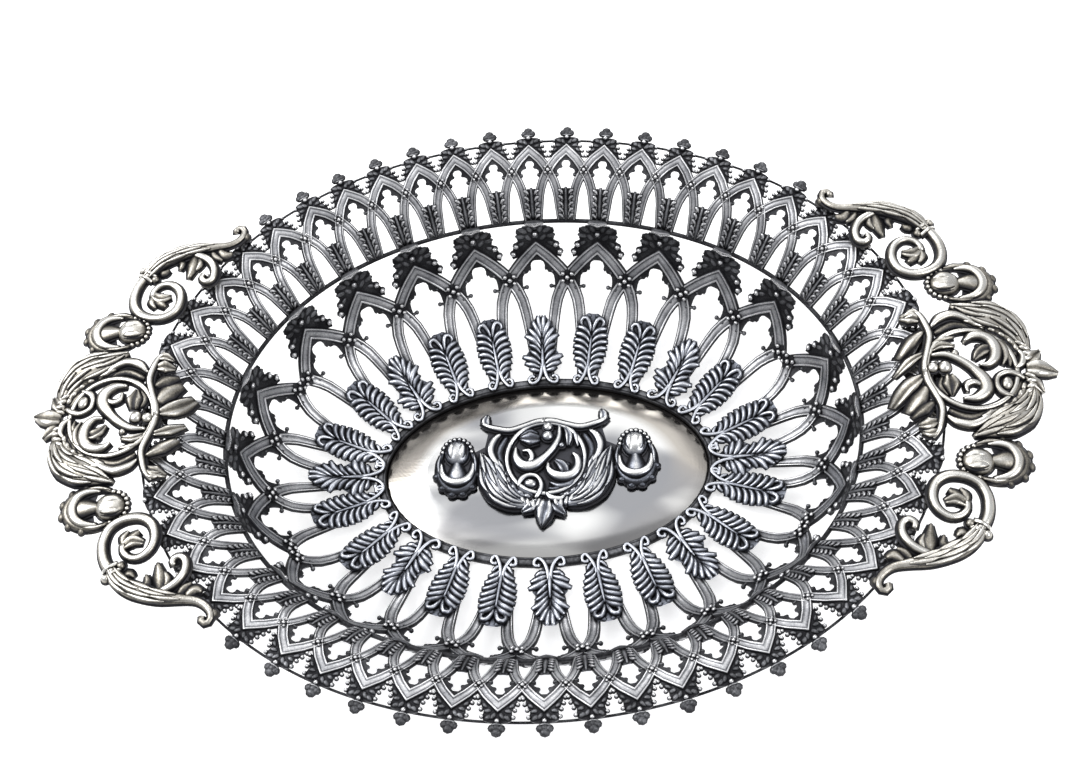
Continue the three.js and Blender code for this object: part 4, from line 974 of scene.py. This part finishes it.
class BASKET_OT_base_plate(BasketOperator, bpy.types.Operator):
    """Turn the dished plate with its edge turned down"""
    bl_idname = "basket.base_plate"
    bl_label = "Base plate"

    def build(self, sizes):
        plate = Casting()
        radii = (1.0, 0.98, 0.96, 0.94, 0.92, 0.89, 0.86, 0.83, 0.8, 0.77, 0.74, 0.7, 0.66, 0.58, 0.5, 0.4,
                 0.28, 0.14, 0.0)
        top = [(r, plate_top(r * (PLATE_HALF_LENGTH - PLATE_INSET), 0)) for r in radii]
        verts = [plate.mesh.verts.new((r, 0, z)) for r, z in [(0.0, 0.0), (1.0, 0.0), *top]]
        edges = [plate.mesh.edges.new(pair) for pair in zip(verts, verts[1:])]
        bmesh.ops.spin(plate.mesh, geom=[*verts, *edges], cent=(0, 0, 0), axis=(0, 0, 1), angle=TURN,
                       steps=128, use_merge=True)
        bmesh.ops.remove_doubles(plate.mesh, verts=plate.mesh.verts, dist=WELD)
        bmesh.ops.scale(plate.mesh, vec=(PLATE_HALF_LENGTH - PLATE_INSET, PLATE_HALF_WIDTH - PLATE_INSET, 1),
                        verts=plate.mesh.verts)
        for vert in plate.mesh.verts:
            # The edge darkens most on the far side: partly less rubbed metal, partly a painted reflection of
            # the far wall.
            edge_tarnish_and_reflection = 0.55 + 0.45 * math.tanh(vert.co.y / 6)
            vert[plate.tarnish_and_shade] = np.interp(plate_share(vert.co.x, vert.co.y), (0.74, 1.0), (0, edge_tarnish_and_reflection))
        for face in plate.mesh.faces:
            face.smooth = True
        add_piece("base_plate", [(plate.master("plate"), in_place)], "polished_silver")


class BASKET_OT_base_frame(BasketOperator, bpy.types.Operator):
    """Draw the moulded frame round the plate"""
    bl_idname = "basket.base_frame"
    bl_label = "Base frame"

    def build(self, sizes):
        ring = Casting()
        ring.spin_oval([(-1.9, 0, 1), (1.4, 0, 1), (1.4, 1.4, 1), (1.0, 1.95, 0.9), (0.4, 2.05, 0.68),
                        (-0.6, 2.05, 0.62), (-1.0, 1.8, 1), (-1.4, 2.0, 0.7), (-1.8, 1.8, 0.95),
                        (-1.9, 1.2, 1)],
                       0.0, 220)
        add_piece("base_frame", [(ring.master("frame"), in_place)], "silver_wire")


class BASKET_OT_lower_tracery(BasketOperator, bpy.types.Operator):
    """Lay the bays of the bowl's four panels"""
    bl_idname = "basket.lower_tracery"
    bl_label = "Lower tracery"

    def build(self, sizes):
        bay, node, end = lower_bay(sizes), lower_node(sizes), stub(LOWER_SEAM / 2 + 0.2, 0.7)
        level = CROSSING_LEVEL * bowl.slant
        for i, side in enumerate(SIDES):
            centre, shifts = lower_bays(i)
            nodes = [shifts[0] - lower_pitch / 2, *(shift + lower_pitch / 2 for shift in shifts)]
            castings = [(bay, bowl.lay(centre, shift)) for shift in shifts]
            castings += [(node, bowl.lay(centre, shift, level)) for shift in nodes]
            castings += [(end, bowl.lay(centre, nodes[-1], level, hand)) for hand in (-1, 1)]
            add_piece(f"lower_panel_{side}", castings, "tracery_cast_silver")


class BASKET_OT_leaves(BasketOperator, bpy.types.Operator):
    """Lay the palm and acanthus leaves on the bars"""
    bl_idname = "basket.leaves"
    bl_label = "Leaves"

    def build(self, sizes):
        forms = {"palm": palm_leaf(sizes), "acanthus": acanthus_leaf(sizes)}
        for i, side in enumerate(SIDES):
            centre, shifts = lower_bays(i)
            for k, shift in enumerate(shifts):
                kind = "acanthus" if k % 3 == 1 else "palm"
                casting = (forms[kind], bowl.true_width(centre - shift, LEAF_SEAT))
                add_piece(f"{kind}_leaf_{side}_{k + 1}", [casting], "leaf_cast_silver")


class BASKET_OT_shoulder_ring(BasketOperator, bpy.types.Operator):
    """Draw the shoulder wire and solder a tab over each crown"""
    bl_idname = "basket.shoulder_ring"
    bl_label = "Shoulder ring"

    def build(self, sizes):
        ring, tab = Casting(), Casting()
        radius, reach = sizes["shoulder_wire"], sizes["tab"]
        ring.spin_oval([(radius * a, SHOULDER_HEIGHT + radius * u, 1 if u < 0.5 else 0.9)
                        for a, u, _ in ROUND], SHOULDER_OFFSET, 260)
        tab.sweep([(-reach, 0, 0.4), (0, 0, 0.8), (reach, 0, 0.4)], [0.7, 1.5, 1.8, 1.5, 0.7], ROUND, 8,
                  [0.7, 1.1, 0.7], -0.25)
        castings, tab = [(ring.master("ring"), in_place)], tab.master("tab")
        for i in range(4):
            centre, shifts = lower_bays(i)
            castings += [(tab, bowl.lay(centre, shift, bowl.slant)) for shift in shifts]
        add_piece("shoulder_ring", castings, "silver_wire")


class BASKET_OT_upper_tracery(BasketOperator, bpy.types.Operator):
    """Lay the bays of the four flaring panels"""
    bl_idname = "basket.upper_tracery"
    bl_label = "Upper tracery"

    def build(self, sizes):
        knobbed, plain, node = upper_bay(sizes, True), upper_bay(sizes, False), upper_node(sizes)
        level = CROSSING_LEVEL * flare.slant
        under_handle = HANDLE_HALF_SPAN * flare.crossing.length / Course(rim_offset).length
        for i, side in enumerate(SIDES):
            centre = i * flare.crossing.length / 4
            castings = []
            for k in range(UPPER_BAYS):
                shift = (k - (UPPER_BAYS - 1) / 2) * upper_pitch
                form = plain if i % 2 == 0 and abs(shift) < under_handle else knobbed
                castings += [(form, flare.lay(centre, shift)),
                             (node, flare.lay(centre, shift + upper_pitch / 2, level))]
            add_piece(f"upper_panel_{side}", castings, "tracery_cast_silver")


class BASKET_OT_rim_wire(BasketOperator, bpy.types.Operator):
    """Draw the thin wire behind the finials"""
    bl_idname = "basket.rim_wire"
    bl_label = "Rim wire"

    def build(self, sizes):
        low, high = (Vector(corner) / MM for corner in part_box("rim_wire"))
        ring, radius = Casting(), sizes["rim_wire"]
        ring.spin_oval([(radius * a, (low.z + high.z) / 2 + radius * u, 0.9) for a, u, _ in ROUND],
                       high.x - PLATE_HALF_LENGTH - radius, 300)
        add_piece("rim_wire", [(ring.master("rim"), in_place)], "silver_wire")


class BASKET_OT_handles(BasketOperator, bpy.types.Operator):
    """Cast the crests, corner scrolls and leaf sprays of both handles"""
    bl_idname = "basket.handles"
    bl_label = "Handles"

    def build(self, sizes):
        top, corner, leaves = crest(False), scroll(), spray()
        for name, end in (("right", 1), ("left", -1)):
            out = on_handle(end, shift=crest_x)
            parts = [("crest", "crest", top, out), ("leaf_spray", "spray", leaves, out)]
            parts += [(f"{place}_scroll", f"{place}_scroll", corner, on_handle(end, hand))
                      for place, hand in (("far", end), ("near", -end))]
            for node, look, form, place in parts:
                add_piece(f"{name}_handle_{node}", [(form, place)], "handle_cast_silver",
                          f"{name}_{look}_look")


class BASKET_OT_centre_ornament(BasketOperator, bpy.types.Operator):
    """Set the same crest on the plate, over a black ground"""
    bl_idname = "basket.centre_ornament"
    bl_label = "Centre ornament"

    def build(self, sizes):
        add_piece("centre_ornament", [(crest(True), on_plate)], "oxidised_cast_silver")


# The studio, in metres, degrees and watts: each light's place, size and power, and the camera
LIGHTS = {"key": ((-0.66, 0.2, 0.8), 0.8, 6), "fill": ((0.7, -0.3, 0.8), 0.6, 3),
          "back": ((0.1, 0.95, 0.4), 0.5, 2), "overhead": ((0.02, 0.45, 0.9), 0.9, 1.7)}
CARD_SIZE = 40.0
CARD_GLOW = 0.5
STUDIO_BRIGHTNESS = 0.68
CAMERA_ELEVATION, CAMERA_YAW, CAMERA_ROLL = 64.15, -6.32, 8.76
CAMERA_TARGET = (0, 0, 0.01313)
CAMERA_DISTANCE = 0.4459
LENS = {"lens": 43.43, "sensor_width": 36, "shift_x": -0.0040, "shift_y": 0.0635, "clip_start": 0.01}


class BASKET_OT_stage(bpy.types.Operator):
    """Set the floor, the lights and the camera"""
    bl_idname = "basket.stage"
    bl_label = "Stage"

    def execute(self, context):
        scene = context.scene
        scene.view_settings.view_transform = "Standard"
        floor, sheet = bpy.data.meshes.new("floor"), bmesh.new()
        bmesh.ops.create_grid(sheet, x_segments=1, y_segments=1, size=CARD_SIZE)
        sheet.to_mesh(floor)
        sheet.free()
        # White card, which a little glow of its own keeps as pale as the photograph's ground
        _, shader = new_material("white_card_floor")
        shader.inputs["Base Color"].default_value = linear("#FAFAFA")
        shader.inputs["Roughness"].default_value = 0.8
        shader.inputs["Emission Color"].default_value = (1, 1, 1, 1)
        shader.inputs["Emission Strength"].default_value = CARD_GLOW
        floor.materials.append(bpy.data.materials["white_card_floor"])
        ground = bpy.data.objects.new("floor", floor)
        scene.collection.objects.link(ground)
        world = bpy.data.worlds.new("studio")
        world.use_nodes = True
        background = world.node_tree.nodes["Background"]
        background.inputs["Color"].default_value = linear("#E4E5E8")
        background.inputs["Strength"].default_value = STUDIO_BRIGHTNESS
        scene.world = world
        for name, (place, size, power) in LIGHTS.items():
            light = bpy.data.lights.new(name, "AREA")
            light.energy = power
            light.size = size
            lamp = bpy.data.objects.new(name, light)
            turn = Vector(place).to_track_quat("Z", "Y").to_matrix().to_4x4()
            lamp.matrix_world = Matrix.Translation(place) @ turn
            scene.collection.objects.link(lamp)
        set_camera(scene)
        return {"FINISHED"}


def set_camera(scene):
    """Stands the camera at the photograph's viewing angle."""
    elevation, yaw, roll = (math.radians(angle) for angle in (CAMERA_ELEVATION, CAMERA_YAW, CAMERA_ROLL))
    side = Vector((math.cos(yaw), -math.sin(yaw), 0))
    forward = Vector((math.sin(yaw) * math.cos(elevation), math.cos(yaw) * math.cos(elevation),
                      -math.sin(elevation)))
    above = side.cross(forward)
    right = math.cos(roll) * side - math.sin(roll) * above
    up = math.sin(roll) * side + math.cos(roll) * above
    lens = bpy.data.cameras.new("camera")
    for name, value in LENS.items():
        setattr(lens, name, value)
    camera = bpy.data.objects.new("camera", lens)
    axes = Matrix((right, up, -forward)).transposed().to_4x4()
    camera.matrix_world = Matrix.Translation(Vector(CAMERA_TARGET) - CAMERA_DISTANCE * forward) @ axes
    scene.collection.objects.link(camera)
    scene.camera = camera


class BASKET_PT_panel(bpy.types.Panel):
    """Sizes, colours and pieces of the basket"""
    bl_label = "Openwork basket"
    bl_space_type = "VIEW_3D"
    bl_region_type = "UI"
    bl_category = "Basket"

    def draw(self, context):
        for group in (context.scene.basket_sizes, context.scene.basket_colours):
            for name in group.__annotations__:
                self.layout.prop(group, name)
        for operator in OPERATORS:
            self.layout.operator(operator.bl_idname)


OPERATORS = (BASKET_OT_base_plate, BASKET_OT_base_frame, BASKET_OT_lower_tracery, BASKET_OT_leaves,
             BASKET_OT_shoulder_ring, BASKET_OT_upper_tracery, BASKET_OT_rim_wire, BASKET_OT_handles,
             BASKET_OT_centre_ornament, BASKET_OT_stage)
CLASSES = (BasketSizes, BasketColours, *OPERATORS, BASKET_PT_panel)


def register():
    for kind in CLASSES:
        bpy.utils.register_class(kind)
    bpy.types.Scene.basket_sizes = PointerProperty(type=BasketSizes)
    bpy.types.Scene.basket_colours = PointerProperty(type=BasketColours)


def unregister():
    del bpy.types.Scene.basket_sizes, bpy.types.Scene.basket_colours
    for kind in reversed(CLASSES):
        bpy.utils.unregister_class(kind)


def main():
    register()
    for operator in OPERATORS:
        group, name = operator.bl_idname.split(".")
        getattr(getattr(bpy.ops, group), name)()


if __name__ == "__main__":
    main()
